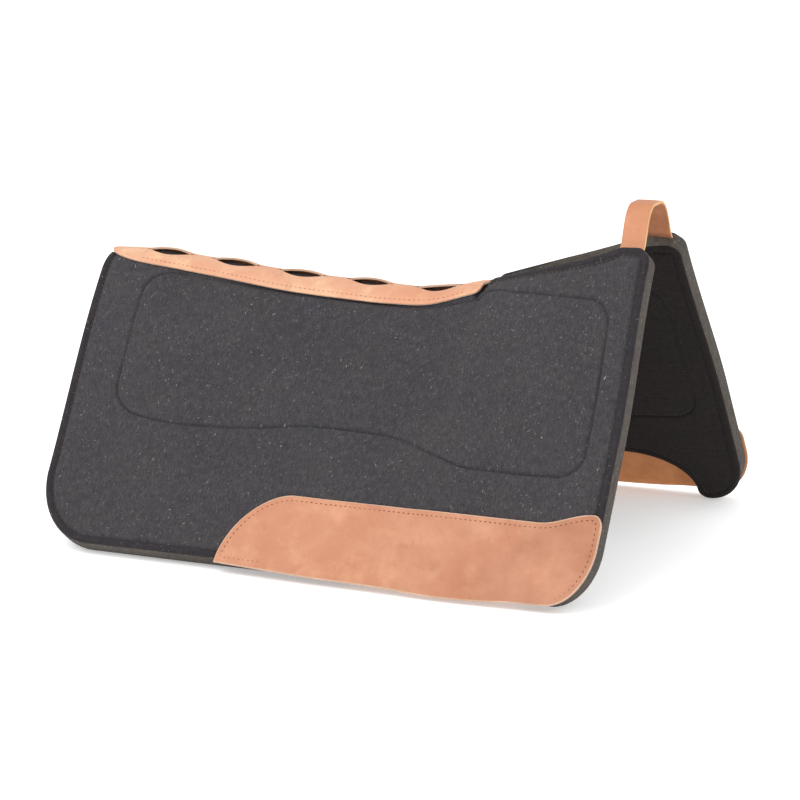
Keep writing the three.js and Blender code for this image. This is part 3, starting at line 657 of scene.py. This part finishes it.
def leather(name, base, warm, pale, smudge, darker_front_to=0.0):
    """The last argument is how far back from the front edge, in metres, the leather is made darker,
    in patches.
    """
    m = Nodes(name)
    plane = m.place()
    cloud = m.noise(plane, 11, 5, 0.62, 0.6)
    blotch = m.noise(m.place((1, 1, 1), 0, (0.31, 0.17, 0)), 26, 4, 0.65)
    color = m.mix(m.ramp(cloud, 0.34, 0.66), base, warm)
    color = m.mix(m.ramp(blotch, 0.5, 0.74, 0, 0.7), color, pale)
    worn = m.noise(m.place((1, 1, 1), 0, (0.9, 0.4, 0)), 15, 6, 0.7, 0.8)
    color = m.mix(m.ramp(worn, 0.6, 0.8, 0, 0.55), color, smudge)
    # Darker towards the front edge, in patches.
    if darker_front_to:
        along = m.add("SeparateXYZ", {0: plane})
        front = m.ramp(along.outputs[0], 0.0, darker_front_to, 0.65, 0)
        patchy = m.ramp(m.noise(plane, 13, 4, 0.6), 0.3, 0.62)
        color = m.mix(m.times(front, patchy), color, smudge)
    pores = m.cells(plane, 950)
    pore = m.ramp(pores.outputs["Distance"], 0.12, 0.4, 1, 0)
    color = m.mix(m.times(pore, 0.28), color, smudge)
    scratch = m.noise(m.place((30, 900, 1), 0.35), 1.0, 3, 0.6)
    color = m.mix(m.ramp(scratch, 0.66, 0.8, 0, 0.25), color, pale)
    wrinkle = m.cells(plane, 420, "DISTANCE_TO_EDGE")
    crease = m.ramp(wrinkle.outputs["Distance"], 0.0, 0.22)
    rough = m.ramp(cloud, 0.3, 0.7, 0.5, 0.68)
    normal = m.bump(crease, 0.16, 0.0005)
    normal = m.bump(m.noise(plane, 260, 5, 0.65), 0.35, 0.0007, normal)
    normal = m.bump(pore, 0.25, 0.0003, normal)
    return m.finish(color, rough, normal, 0.0)


def suede(name, base, dark, pale):
    """The fibrous flesh side and the cut edges of the leather."""
    m = Nodes(name)
    plane = m.place()
    nap = m.noise(plane, 900, 5, 0.75)
    cloud = m.noise(plane, 24, 4, 0.6)
    color = m.mix(m.ramp(cloud, 0.35, 0.65), base, dark)
    color = m.mix(m.ramp(nap, 0.45, 0.75, 0, 0.5), color, pale)
    return m.finish(color, 0.9, m.bump(nap, 0.5, 0.0006), 0.05)


def thread_finish(name, base, dark):
    m = Nodes(name)
    source = m.add("TexCoord", {}).outputs["Object"]
    twist = m.add("TexWave", {"Vector": source, "Scale": 900, "Distortion": 1.5},
                  wave_type="BANDS", bands_direction="DIAGONAL").outputs["Fac"]
    # The twist's bands set the bump and the colour alike: the second colour is painted shade in the
    # grooves between the plies.
    return m.finish(m.mix(twist, dark, base), 0.7, m.bump(twist, 0.6, 0.0003))


def foam(name):
    m = Nodes(name)
    plane = m.place()
    bubbles = m.cells(plane, 1100)
    color = m.mix(m.ramp(bubbles.outputs["Distance"], 0.1, 0.6), rgb(44, 48, 54), rgb(74, 79, 86))
    return m.finish(color, 0.8, m.bump(bubbles.outputs["Distance"], 0.4, 0.0005), 0.0)


CHARCOAL = felt("charcoal felt", rgb(49, 47, 50), rgb(63, 60, 62), rgb(49, 52, 62),
                rgb(190, 186, 180), 0.33)
TAPE_CHARCOAL = felt("tape charcoal", rgb(36, 34, 37), rgb(48, 44, 47), rgb(36, 38, 46),
                     rgb(180, 176, 170), 0.25, grain=(60, 700))
# The lining: a felt much like the charcoal, with ribs and fewer flecks, made darker as painted shade
# for the panel's shaded underside.
LINING_PAINTED_SHADE = felt("lining felt with painted shade", rgb(29, 25, 25), rgb(36, 31, 30), rgb(27, 25, 27),
              rgb(90, 84, 78), 0.08, ribs=0.5)
# The tape's rounded edge: a brownish-grey, streaky felt, made lighter than the charcoal as painted
# light where the edge faces the light.
EDGE_FELT_PAINTED_LIGHT = felt("edge felt with painted light", rgb(54, 50, 47), rgb(84, 78, 72), rgb(54, 54, 58),
                 rgb(200, 194, 184), 0.5, grain=(60, 700))
CORE = felt("core felt", rgb(70, 68, 68), rgb(86, 83, 82), rgb(70, 71, 76), rgb(150, 146, 140), 0.2)
WEAR_LEATHER = leather("wear leather", rgb(184, 128, 96), rgb(172, 112, 80), rgb(198, 144, 110),
                       rgb(140, 86, 60), darker_front_to=0.3)
SPINE_LEATHER = leather("spine leather", rgb(204, 156, 124), rgb(196, 136, 104),
                        rgb(222, 184, 144), rgb(160, 100, 66))
LOOP_LEATHER = leather("loop leather", rgb(184, 123, 86), rgb(172, 110, 74), rgb(200, 140, 100),
                       rgb(142, 80, 46))
FLESH_SIDE = suede("leather flesh side", rgb(206, 140, 88), rgb(182, 116, 68), rgb(224, 168, 118))
LOOP_FLESH = suede("loop flesh side", rgb(176, 116, 80), rgb(150, 94, 60), rgb(198, 142, 104))
CUT_EDGE = suede("leather cut edge", rgb(192, 158, 136), rgb(170, 134, 110), rgb(216, 192, 172))
LOOP_EDGE = suede("loop cut edge", rgb(216, 170, 116), rgb(196, 148, 96), rgb(232, 196, 146))
# Each thread's second colour is painted shade for the grooves of its twist.
DARK_THREAD = thread_finish("dark thread", rgb(34, 32, 35), rgb(14, 13, 15))
TAN_THREAD = thread_finish("tan thread", rgb(132, 62, 34), rgb(84, 34, 18))
SPINE_THREAD = thread_finish("spine thread", rgb(176, 116, 80), rgb(140, 84, 54))
FOAM = foam("insert foam")

# ---- felt panels ----

RIM = resampled(rim_line(), 0.5)
QUILT = resampled(quilt_line(), 0.5, closed=True)


def ripple(u, s, seed):
    """Slow unevenness of thick felt, in millimetres."""
    draw = np.random.default_rng(seed)
    total = np.zeros(np.broadcast(u, s).shape)
    for size in RIPPLE_SIZES:
        turn, shift = draw.uniform(0, 2 * math.pi, 2)
        along = u * math.cos(turn) + s * math.sin(turn)
        total += (size / RIPPLE_SIZES[0]) * np.sin(along * 2 * math.pi / size + shift)
    return RIPPLE_HEIGHT * total


class PanelGrid:
    """A grid of (u, s) places over one layer, lined up with the rim and the quilting."""

    COLUMNS = (5, 20, 190, 24, 5)
    ROWS = (5, 34, 70, 12, 5)

    def __init__(self, inset, high_n, fine=1.0):
        self.high_n = high_n
        edge = max(TAPE_REACH, inset + 1)
        low, high = column_edges(lower_line(), inset), column_top(inset)
        columns = [max(2, int(c * fine)) for c in self.COLUMNS]
        rows = [max(2, int(c * fine)) for c in self.ROWS]
        us = spread([inset, edge, QUILT_FRONT, QUILT_REAR, PANEL_LENGTH - edge,
                     PANEL_LENGTH - inset], columns)
        band = max(TAPE_REACH - inset, 1.0)
        bottom, top = low(us), high(us, high_n)
        inner_u = np.clip(us, QUILT_FRONT, QUILT_REAR)
        q_low = np.maximum(quilt_low(inner_u), bottom + band + 2)
        q_high = np.minimum(quilt_high(inner_u), top - band - 1)
        self.s = spread([bottom, bottom + band, q_low, q_high, top - band, top], rows)
        self.u = np.broadcast_to(us[:, None], self.s.shape)
        self.columns, self.rows = self.u.shape
        self.window = np.zeros((self.columns - 1, self.rows - 1), bool)
        c, r = np.cumsum(columns), np.cumsum(rows)
        self.window[c[1]:c[2], r[1]:r[2]] = True

    def places(self, n):
        """s at depth n: near the spine the grid draws in, so that the channel's wall is upright."""
        back = channel_edge(self.u, self.high_n) - channel_edge(self.u, n)
        back = back * smoothstep(self.u, CUT_START - CUT_BLEND, CUT_START)
        top = self.s[:, -1:]
        return self.s - back * smoothstep(self.s, top - WALL_REACH, top)

    def fields(self):
        """Distances to the rim and to the quilting, and 1 inside the quilting."""
        rim = distances_to(RIM, self.u, self.s)
        quilt = distances_to(QUILT, self.u, self.s)
        clipped = np.clip(self.u, QUILT_FRONT, QUILT_REAR)
        inside = ((self.u > QUILT_FRONT) & (self.u < QUILT_REAR) & (self.s > quilt_low(clipped))
                  & (self.s < quilt_high(clipped)))
        return rim, quilt, inside


FELT_GRID = PanelGrid(FELT_INSET, OUTER_FACE)
RIM_AWAY, QUILT_AWAY, IN_QUILT = FELT_GRID.fields()


def face_height(side_seed, puff):
    """How far a felt face stands out from its plane: creases in, padding out."""
    rim = -RIM_CREASE * bump(RIM_AWAY - TAPE_REACH, RIM_CREASE_WIDTH)
    rim = np.where(RIM_AWAY < TAPE_REACH, -RIM_CREASE, rim)
    quilt = -QUILT_CREASE * bump(QUILT_AWAY, QUILT_CREASE_WIDTH)
    swell = 1 - bump(QUILT_AWAY, QUILT_PUFF_REACH)
    padding = np.where(IN_QUILT, QUILT_PUFF * swell, 0.25 * QUILT_PUFF * swell)
    at_seam = (smoothstep(FELT_GRID.u, *SEAM_START) * (FELT_GRID.u < PANEL_LENGTH / 2)
               * (FELT_GRID.s > PANEL_LENGTH / 3))
    rim *= 1 - at_seam
    fade = smoothstep(RIM_AWAY, TAPE_REACH, 3 * TAPE_REACH)
    return rim + quilt + fade * (puff * padding + ripple(FELT_GRID.u, FELT_GRID.s, side_seed))


def flat_places(u, s, n=0.0, shift=0.0):
    u, s, n = np.broadcast_arrays(u, s, n)
    return np.stack([u + shift, s, n], axis=-1)


def panel_sheet(name, grid, n_front, n_back, material, side, replaces, kept=None):
    """A closed layer of a panel between two depths on a grid."""
    faces, _ = sheet_faces(grid.columns, grid.rows, kept)
    points = np.stack([panel_point(grid.u, grid.places(n_front), n_front),
                       panel_point(grid.u, grid.places(n_back), n_back)])
    shift = 0 if side == "right" else LEFT_FELT_SHIFT
    flat = np.stack([flat_places(grid.u, grid.s, n_front, shift),
                     flat_places(grid.u, grid.s, n_back, shift)])
    return make_piece(name, points, faces, [material], f"{side}_panel", replaces,
                      flat=flat, side=side, sharp=70)


def outer_felt(side, seed):
    face = OUTER_FACE + face_height(seed, 1.0)
    piece = panel_sheet(f"{side}_quilted_felt", FELT_GRID, face, OUTER_BACK, CHARCOAL, side,
                        [f"{side}_outer_felt"])
    return piece


def lining_felt(side, seed):
    face = LINING_FACE - LINING_RELIEF * face_height(seed, LINING_PUFF)
    # The lining felt is darkened as painted shade.
    piece = panel_sheet(f"{side}_lining", FELT_GRID, LINING_BACK, face, LINING_PAINTED_SHADE, side,
                        [f"{side}_lining_felt"])
    return piece


CORE_GRID = PanelGrid(CORE_INSET, CORE_SPAN[0], 0.5)


def core_felt(side):
    piece = panel_sheet(f"{side}_core", CORE_GRID, CORE_SPAN[1], CORE_SPAN[0], CORE, side,
                        [f"{side}_core_felt"], kept=~CORE_GRID.window)
    return piece


def foam_insert(side):
    """The foam that fills the quilting, with rounded edges."""
    count_u, count_s, gap = 150, 60, INSERT_GAP
    us = spread([QUILT_FRONT + gap, QUILT_REAR - gap], [count_u], 0.9)
    s = spread([quilt_low(us) + gap, quilt_high(us) - gap], [count_s], 0.9)
    u = np.broadcast_to(us[:, None], s.shape)
    away = distances_to(QUILT, u, s) - gap
    half = (INSERT_SPAN[1] - INSERT_SPAN[0]) / 2
    middle = sum(INSERT_SPAN) / 2
    swell = half * (1 - edge_drop(away, INSERT_EDGE, 1 - INSERT_EDGE_SHARE))
    points = np.stack([panel_point(u, s, middle + swell), panel_point(u, s, middle - swell)])
    faces, _ = sheet_faces(*u.shape)
    flat = np.stack([flat_places(u, s), flat_places(u, s, 5)])
    piece = make_piece(f"{side}_foam_insert", points, faces, [FOAM], f"{side}_panel",
                       [f"{side}_impact_insert"], flat=flat, side=side)
    return piece


# ---- edge tape and stitching ----


def tape_section():
    """The folded tape's outline as (inwards, n): a soft round edge, tucked in at both creases."""
    outer = [(TAPE_REACH + 0.4, THICKNESS - 3.2), (TAPE_REACH - 0.4, THICKNESS - 1.6),
             (TAPE_REACH - 2.2, THICKNESS - 0.45), (TAPE_REACH - 4.5, THICKNESS - 0.05),
             (3.0, THICKNESS - 0.15), (1.5, THICKNESS - 1.0), (0.55, THICKNESS - 2.4),
             (0.1, THICKNESS - 4.4), (0.0, THICKNESS - 8.0)]
    inner = [(d, THICKNESS - n) for d, n in reversed(outer)]
    hidden = [(TAPE_REACH - 1.5, 2.9), (2.2, 4.0), (2.2, THICKNESS - 4.0),
              (TAPE_REACH - 1.5, THICKNESS - 2.9)]
    return np.array(outer + inner + hidden)


def moved_inwards(line, inwards, n):
    """(u, s) places a true distance inside a line, at depth n: over the bend of the spine the
    outer face is longer than the face that s is measured on."""
    along = directions(line)
    u = line[:, 0] - along[:, 1] * inwards
    _, flank, _ = section(u)
    stretch = 1 + n / CREST_RADIUS
    bent = np.maximum(line[:, 1] - flank, 0) * stretch
    step = along[:, 0] * inwards
    down = np.where(-step < bent, line[:, 1] + step / stretch, flank + bent + step)
    return u, np.where((step >= 0) | (bent == 0), line[:, 1] + step, down)


TAPE_LINE = resampled(rim_line(), TAPE_PITCH)


def edge_tape(side):
    outline = tape_section()
    around = np.concatenate([[0], np.cumsum(np.linalg.norm(np.diff(outline, axis=0), axis=1))])
    length = TAPE_PITCH * np.arange(len(TAPE_LINE))
    draw = np.random.default_rng(7 + SIDES[side])
    lump_at = np.arange(0, length[-1] + 60, TAPE_LUMP_PITCH)
    lumps = np.interp(length, lump_at, draw.uniform(-TAPE_LUMP, TAPE_LUMP, len(lump_at)))
    points, flat = [], []
    for (inwards, n), arc in zip(outline, around):
        depth = lerp(THICKNESS / 2, n, 1 + lumps / THICKNESS)
        u, s = moved_inwards(TAPE_LINE, inwards, n)
        points.append(panel_point(u, s, depth))
        flat.append(np.stack([length, np.full(len(length), arc), 0 * length], axis=-1))
    faces = sweep_faces(len(TAPE_LINE), len(outline), False)
    depths = (outline[:, 1] + np.roll(outline[:, 1], -1)) / 2
    # Kind 0 is the tape's rounded edge, in the lighter felt that carries painted light.
    around_kinds = np.where(depths > THICKNESS - TAPE_FACE_DEPTH, 1,
                            np.where(depths < TAPE_FACE_DEPTH, 2, 0))
    # Kind 2 is the tape's inner face, in the lining felt that is darkened as painted shade.
    kinds = np.concatenate([np.tile(around_kinds, len(TAPE_LINE) - 1), [0, 0]])
    return make_piece(f"{side}_edge_tape", np.stack(points, axis=1), faces,
                      [EDGE_FELT_PAINTED_LIGHT, TAPE_CHARCOAL, LINING_PAINTED_SHADE], f"{side}_panel",
                      [f"{side}_edge_binding"], flat=np.stack(flat, axis=1), side=side,
                      face_materials=kinds, sharp=80)


def stitch_row(name, u, s, n, out, side, node, material, stitch):
    line = panel_point(u, s, n)
    ups = outward(u, s) * out
    points, faces = stitched(line, ups, *stitch)
    return make_piece(name, points, faces, [material], f"{side}_panel", [node], side=side)


def edge_stitches(side, face):
    depth = EDGE_STITCH_DEPTH
    n, out = (THICKNESS - depth, 1) if face == "top" else (depth, -1)
    u, s = moved_inwards(TAPE_LINE, TAPE_REACH + 0.1, n)
    return stitch_row(f"{side}_edge_{face}_stitches", u, s, n, out, side,
                      f"{side}_edge_{face}_thread", DARK_THREAD, EDGE_STITCH)


def quilt_stitches(side, face):
    depth = 0.9 * QUILT_CREASE
    n, out = (OUTER_FACE - depth, 1) if face == "top" else (LINING_FACE + LINING_RELIEF * depth, -1)
    u, s = QUILT[::4, 0], QUILT[::4, 1]
    return stitch_row(f"{side}_quilt_{face}_stitches", u, s, n, out, side,
                      f"{side}_quilt_{face}_thread", DARK_THREAD, QUILT_STITCH)


# ---- wear leather ----


def wear_columns():
    front = WEAR_FRONT + WEAR_FRONT_FINE * np.linspace(0, 1, 16) ** 2
    tail = WEAR_TIP - WEAR_TAIL_FINE * np.linspace(1, 0.02, 34) ** 2
    return np.concatenate([front, np.linspace(front[-1], tail[0], 130)[1:-1], tail])


def wear_edge_away(u, s):
    us = wear_columns()
    ring = np.vstack([np.stack([us, wear_bottom(us)], axis=1),
                      np.stack([us, wear_top(us)], axis=1)[::-1]])
    return distances_to(resampled(ring, 0.5, closed=True), u, s)


def wear_leather(side):
    us = wear_columns()
    low, high = wear_bottom(us), wear_top(us)
    margin = np.minimum(1.4, (high - low) / 8)
    s = spread([low, low + margin, high - margin, high], [3, 46, 3], 0.4)
    u = np.broadcast_to(us[:, None], s.shape)
    away = wear_edge_away(u, s)
    seed = 41 if side == "right" else 42
    sewn = s > wear_bottom(u) + WEAR_FOOT_CLEAR
    pull = -WEAR_PULL * bump(away - WEAR_STITCH_INSET, WEAR_PULL_WIDTH) * sewn
    wave = 0.5 * ripple(u * 1.6, s * 1.6, seed)
    rounding = -edge_drop(away, *WEAR_ROUND)
    lift = WEAR_HEM_LIFT * smoothstep(-s, *WEAR_HEM_SPAN)
    face = WEAR_FACE + wave * 0.6 + pull + rounding + lift
    back = WEAR_BACK + np.maximum(wave * 0.6, 0) + lift
    points = np.stack([panel_point(u, s, face), panel_point(u, s, back)])
    faces, kinds = sheet_faces(*u.shape)
    on_edge = np.append(away.ravel(), away.ravel())[faces].mean(axis=1) < WORN_EDGE
    kinds[on_edge & (kinds == 0)] = 2
    shift = 0 if side == "right" else LEFT_WEAR_SHIFT
    flat = np.stack([flat_places(u, s, 0, shift), flat_places(u, s, 3, shift)])
    return make_piece(f"{side}_wear_patch", points, faces, [WEAR_LEATHER, FLESH_SIDE, CUT_EDGE],
                      f"{side}_panel", [f"{side}_wear_leather"], flat=flat,
                      side=side, face_materials=kinds, sharp=50)


def wear_stitch_line():
    """Just inside the edge: up the lobe, along the top, down the tail, a little along the foot."""
    inset = WEAR_STITCH_INSET
    us = wear_columns()
    lobe = us[us < WEAR_STITCH_FRONT][::-1]
    edge = np.vstack([np.stack([lobe, wear_bottom(lobe)], axis=1),
                      np.stack([us, wear_top(us)], axis=1)])
    inside = inset_line(resampled(edge, 1.0), -inset)
    away = wear_edge_away(inside[:, 0], inside[:, 1])
    inside = inside[away > inset - 0.4]
    foot_line = WEAR_LOW[-1, 1] + inset
    inside = inside[(inside[:, 0] < WEAR_TAIL) | (inside[:, 1] > foot_line + 1.5)]
    corner = inside[-1, 0] - 2.5
    return np.vstack([inside, [[corner, foot_line + 0.3]], [[WEAR_STITCH_END, foot_line]]])


def wear_stitches(side):
    line = resampled(wear_stitch_line(), 1.0)
    return stitch_row(f"{side}_wear_patch_stitches", line[:, 0], line[:, 1], WEAR_FACE - 0.25, 1,
                      side, f"{side}_wear_leather_thread", TAN_THREAD,
                      LEATHER_STITCH)


# ---- spine strip ----

# The vents' middles, straight back from the front edge's foot, and the same places in u.
VENT_PLACES = VENT_FIRST + VENT_PITCH * np.arange(VENT_COUNT)
VENTS = VENT_PLACES - rear_lean(VENT_PLACES, top_edge(VENT_PLACES))

strip_middle = profile(STRIP_HALF_WIDTHS)


def strip_half_width(u):
    fall = np.clip((u - STRIP_REAR + STRIP_TAPER) / STRIP_TAPER, 0, 1)
    rear = strip_middle(u) * np.sqrt(1 - fall**2)
    front = arc_drop(np.maximum(STRIP_FRONT + STRIP_CORNER - u, 0), STRIP_CORNER, STRIP_CORNER)
    return np.maximum(rear - front, 3)


def vent_half_width(u):
    place = np.min(np.abs(u[..., None] - VENTS), axis=-1) / (VENT_LENGTH / 2)
    return VENT_WIDTH / 2 * np.clip(1 - place**2, 0, 1)


def vent_lift(u, w, hand):
    place = np.min(np.abs(u[..., None] - VENTS), axis=-1) / (VENT_LENGTH / 2)
    along = np.clip(1 - (place / VENT_LIFT_REACH) ** 2, 0, 1) ** 1.5
    near_hole = bump(np.maximum(w - vent_half_width(u), 0), VENT_LIFT_WIDTH)
    return VENT_LIFT[hand] * along * near_hole


def front_dip(u, w):
    fade = 1 - smoothstep(u, STRIP_FRONT, STRIP_FRONT + STRIP_DIP_REACH)
    return -STRIP_DIP * fade * bump(w, STRIP_DIP_WIDTH)


def strip_columns():
    """Stations along the strip, with one at each end of every vent."""
    edges = [STRIP_FRONT + 0.2, STRIP_FRONT + STRIP_CORNER]
    for middle in VENTS:
        edges += [middle - VENT_LENGTH / 2, middle + VENT_LENGTH / 2]
    edges += [STRIP_REAR - 14, STRIP_REAR - 0.2]
    counts = [8] + [22 if i % 2 else 12 for i in range(len(edges) - 3)] + [14]
    return spread(edges, counts, 0.7)


def spine_strip():
    us = strip_columns()
    rows, far = 26, 9
    outer, inner = strip_half_width(us), np.minimum(vent_half_width(us), strip_half_width(us) - 1)
    has_hole = inner > 0.01
    points, flat, faces, kinds = [], [], [], []
    start = 0
    for hand in (-1, 1):
        across = spread([inner, inner + 1.0, outer - 1.2, outer], [3, rows, 3], 0.3)
        u = np.broadcast_to(us[:, None], across.shape)
        hole_edge = np.where(has_hole[:, None], across - inner[:, None], far)
        edge = np.minimum(outer[:, None] - across, hole_edge)
        rounding = -edge_drop(edge, *STRIP_ROUND)
        dimple = -0.35 * bump(outer[:, None] - across - STRIP_STITCH_INSET, 1.8)
        lift = vent_lift(u, across, hand) + front_dip(u, across)
        wave = 0.25 * np.abs(ripple(u * 1.7, across * 1.5 + 40, 5 + hand))
        for n in (STRIP_FACE + lift + wave + rounding + dimple, STRIP_BACK + lift):
            points.append(strip_point(u, hand * across, n).reshape(-1, 3))
            flat.append(flat_places(u, hand * across, n).reshape(-1, 3))
        half_faces, half_kinds = sheet_faces(*u.shape)
        front = np.arange(u.size).reshape(u.shape)[:, 0]
        closed = np.isin(half_faces, np.concatenate([front, front + u.size])).all(axis=1)
        column = (half_faces % u.size) // u.shape[1]
        beside_vent = has_hole[column].any(axis=1)
        wanted = ~closed | beside_vent
        faces.append(half_faces[wanted] + start)
        kinds.append(half_kinds[wanted])
        start += 2 * u.size
    piece = make_piece("spine_strip", np.concatenate(points), np.concatenate(faces),
                       [SPINE_LEATHER, FLESH_SIDE, CUT_EDGE], None,
                       ["spine_leather"], flat=np.concatenate(flat),
                       face_materials=np.concatenate(kinds), sharp=50)
    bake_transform(piece)
    return piece


def strip_stitches(side):
    us = np.arange(*STRIP_STITCH_SPAN, 1.0)
    across = -SIDES[side] * (strip_half_width(us) - STRIP_STITCH_INSET)
    line = strip_point(us, across, STRIP_FACE - 0.2)
    ups = strip_point(us, across, STRIP_FACE + 1) - strip_point(us, across, STRIP_FACE)
    points, faces = stitched(line, ups, *LEATHER_STITCH)
    return make_piece(f"spine_stitches_{side}", points, faces, [SPINE_THREAD], f"{side}_panel",
                      [f"spine_thread_{side}"])


# ---- withers loop ----


def bezier(a, b, c, d, steps):
    t = np.linspace(0, 1, steps)[:, None]
    a, b, c, d = (np.array(p, float) for p in (a, b, c, d))
    return (1 - t) ** 3 * a + 3 * (1 - t) ** 2 * t * b + 3 * (1 - t) * t**2 * c + t**3 * d


def loop_path():
    """The strap's middle line as (y, z), from inside the right panel over to the left one."""
    u = LOOP_FRONT - FRONT_LEAN + LOOP_WIDTH / 2
    top = float(top_edge(u))
    buried, mouth, clear = (panel_point(u, s, LOOP_DEPTH)[1:]
                            for s in (top - LOOP_BURIED, top, top + LOOP_CLEAR))
    crown = np.array([-LOOP_TOP_HALF, LOOP_TOP])
    rise = bezier(clear, clear + LOOP_LOW_PULL, crown - LOOP_HIGH_PULL, crown, 24)
    half = np.vstack([[buried], [mouth], rise])
    return resampled(np.vstack([half, (half * (-1, 1))[::-1]]), LOOP_PITCH)


def withers_loop():
    path = loop_path()
    along = directions(path)
    normal = np.stack([-along[:, 1], along[:, 0]], axis=1)
    half, thick, bevel = LOOP_WIDTH / 2, LOOP_THICKNESS / 2, LOOP_BEVEL
    across = np.concatenate([[-half, -half + bevel], np.linspace(-half + 2, half - 2, 12),
                             [half - bevel, half]])
    top = np.stack([across, np.where(np.abs(across) > half - 0.1, thick - bevel, thick)], axis=1)
    outline = np.vstack([top, (top * (1, -1))[::-1]])
    length = LOOP_PITCH * np.arange(len(path))
    middle_x = FRONT_X - LOOP_FRONT - half
    crown = LOOP_CROWN * np.sin(length / length[-1] * math.pi)
    points, flat = [], []
    for x, out in outline:
        bow = out + crown * (1 - (x / half) ** 2)
        yz = path + normal * np.asarray(bow)[:, None]
        points.append(np.column_stack([np.full(len(path), middle_x + x), yz]))
        flat.append(np.column_stack([length, np.full(len(path), x), np.full(len(path), out)]))
    size = len(outline)
    faces = sweep_faces(len(path), size, False)
    row = len(top)
    kind_of = [0] * (row - 1) + [2] + [1] * (row - 1) + [2]
    kind_of[0] = kind_of[row - 2] = 2
    kinds = [kind_of[k % size] for k in range(len(faces) - 2)] + [2, 2]
    piece = make_piece("withers_strap", np.stack(points, axis=1), faces,
                       [LOOP_LEATHER, LOOP_FLESH, LOOP_EDGE], None,
                       ["withers_loop"], flat=np.stack(flat, axis=1), face_materials=kinds,
                       sharp=55)
    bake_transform(piece)
    return piece


# ---- floor, light and camera ----


def floor():
    material = bpy.data.materials.new("pale floor")
    material.use_nodes = True
    shader = material.node_tree.nodes["Principled BSDF"]
    shader.inputs["Base Color"].default_value = (0.93, 0.93, 0.93, 1)
    shader.inputs["Roughness"].default_value = 1.0
    shader.inputs["Specular IOR Level"].default_value = 0.0
    shader.inputs["Emission Color"].default_value = (1, 1, 1, 1)
    shader.inputs["Emission Strength"].default_value = 0.35
    bpy.ops.mesh.primitive_plane_add(size=40, location=(0, 0, -0.0005))
    plane = bpy.context.object
    plane.name = "floor"
    plane.data.materials.append(material)


def area_light(name, azimuth, elevation, distance, size, power):
    """A soft square light aimed at the pad. Azimuth and elevation are in degrees."""
    a, e = math.radians(azimuth), math.radians(elevation)
    back = Vector((math.sin(a) * math.cos(e), -math.cos(a) * math.cos(e), math.sin(e)))
    data = bpy.data.lights.new(name, "AREA")
    data.energy, data.size = power, size
    light = bpy.data.objects.new(name, data)
    light.location = Vector((0, 0, 0.2)) + back * distance
    light.rotation_euler = (-back).to_track_quat("-Z", "Y").to_euler()
    bpy.context.scene.collection.objects.link(light)


def studio():
    scene = bpy.context.scene
    world = bpy.data.worlds.new("studio")
    world.use_nodes = True
    world.node_tree.nodes["Background"].inputs["Color"].default_value = (1, 1, 1, 1)
    world.node_tree.nodes["Background"].inputs["Strength"].default_value = 1.0
    scene.world = world
    scene.view_settings.view_transform = "Standard"
    scene.view_settings.look = "None"
    area_light("key", -25, 50, 3.2, 2.2, 55)
    area_light("fill", 70, 30, 3.4, 2.0, 18)


CAMERA_TURN, CAMERA_RISE, CAMERA_ROLL = math.radians(25.5), math.radians(13.1), math.radians(1.0)
CAMERA_TARGET = Vector((13.4, 0, 205.7))
CAMERA_OFFSET = (3.1, -50.4, -4098.9)       # right, up and forwards from the target
CAMERA_LENS = 156.06


def camera():
    a, e, roll = CAMERA_TURN, CAMERA_RISE, CAMERA_ROLL
    right = Vector((math.cos(a), math.sin(a), 0))
    ahead = Vector((-math.sin(a) * math.cos(e), math.cos(a) * math.cos(e), -math.sin(e)))
    up = right.cross(ahead)
    x, y, z = CAMERA_OFFSET
    place = CAMERA_TARGET + right * x + up * y + ahead * z
    rolled_right = right * math.cos(roll) - up * math.sin(roll)
    rolled_up = right * math.sin(roll) + up * math.cos(roll)
    data = bpy.data.cameras.new("camera")
    data.lens, data.sensor_width = CAMERA_LENS, 36
    data.clip_start, data.clip_end = 0.1, 50
    cam = bpy.data.objects.new("camera", data)
    turn = Matrix((rolled_right, rolled_up, -ahead)).transposed().to_4x4()
    cam.matrix_world = Matrix.Translation(place * MM) @ turn
    bpy.context.scene.collection.objects.link(cam)
    bpy.context.scene.camera = cam


# ---- assembly ----

camera()
studio()
floor()
for side, seed in (("right", 11), ("left", 23)):
    outer_felt(side, seed)
    lining_felt(side, seed + 5)
    core_felt(side)
    foam_insert(side)
    edge_tape(side)
    for face in ("top", "bobbin"):
        edge_stitches(side, face)
        quilt_stitches(side, face)
    wear_leather(side)
    wear_stitches(side)
    strip_stitches(side)
spine_strip()
withers_loop()
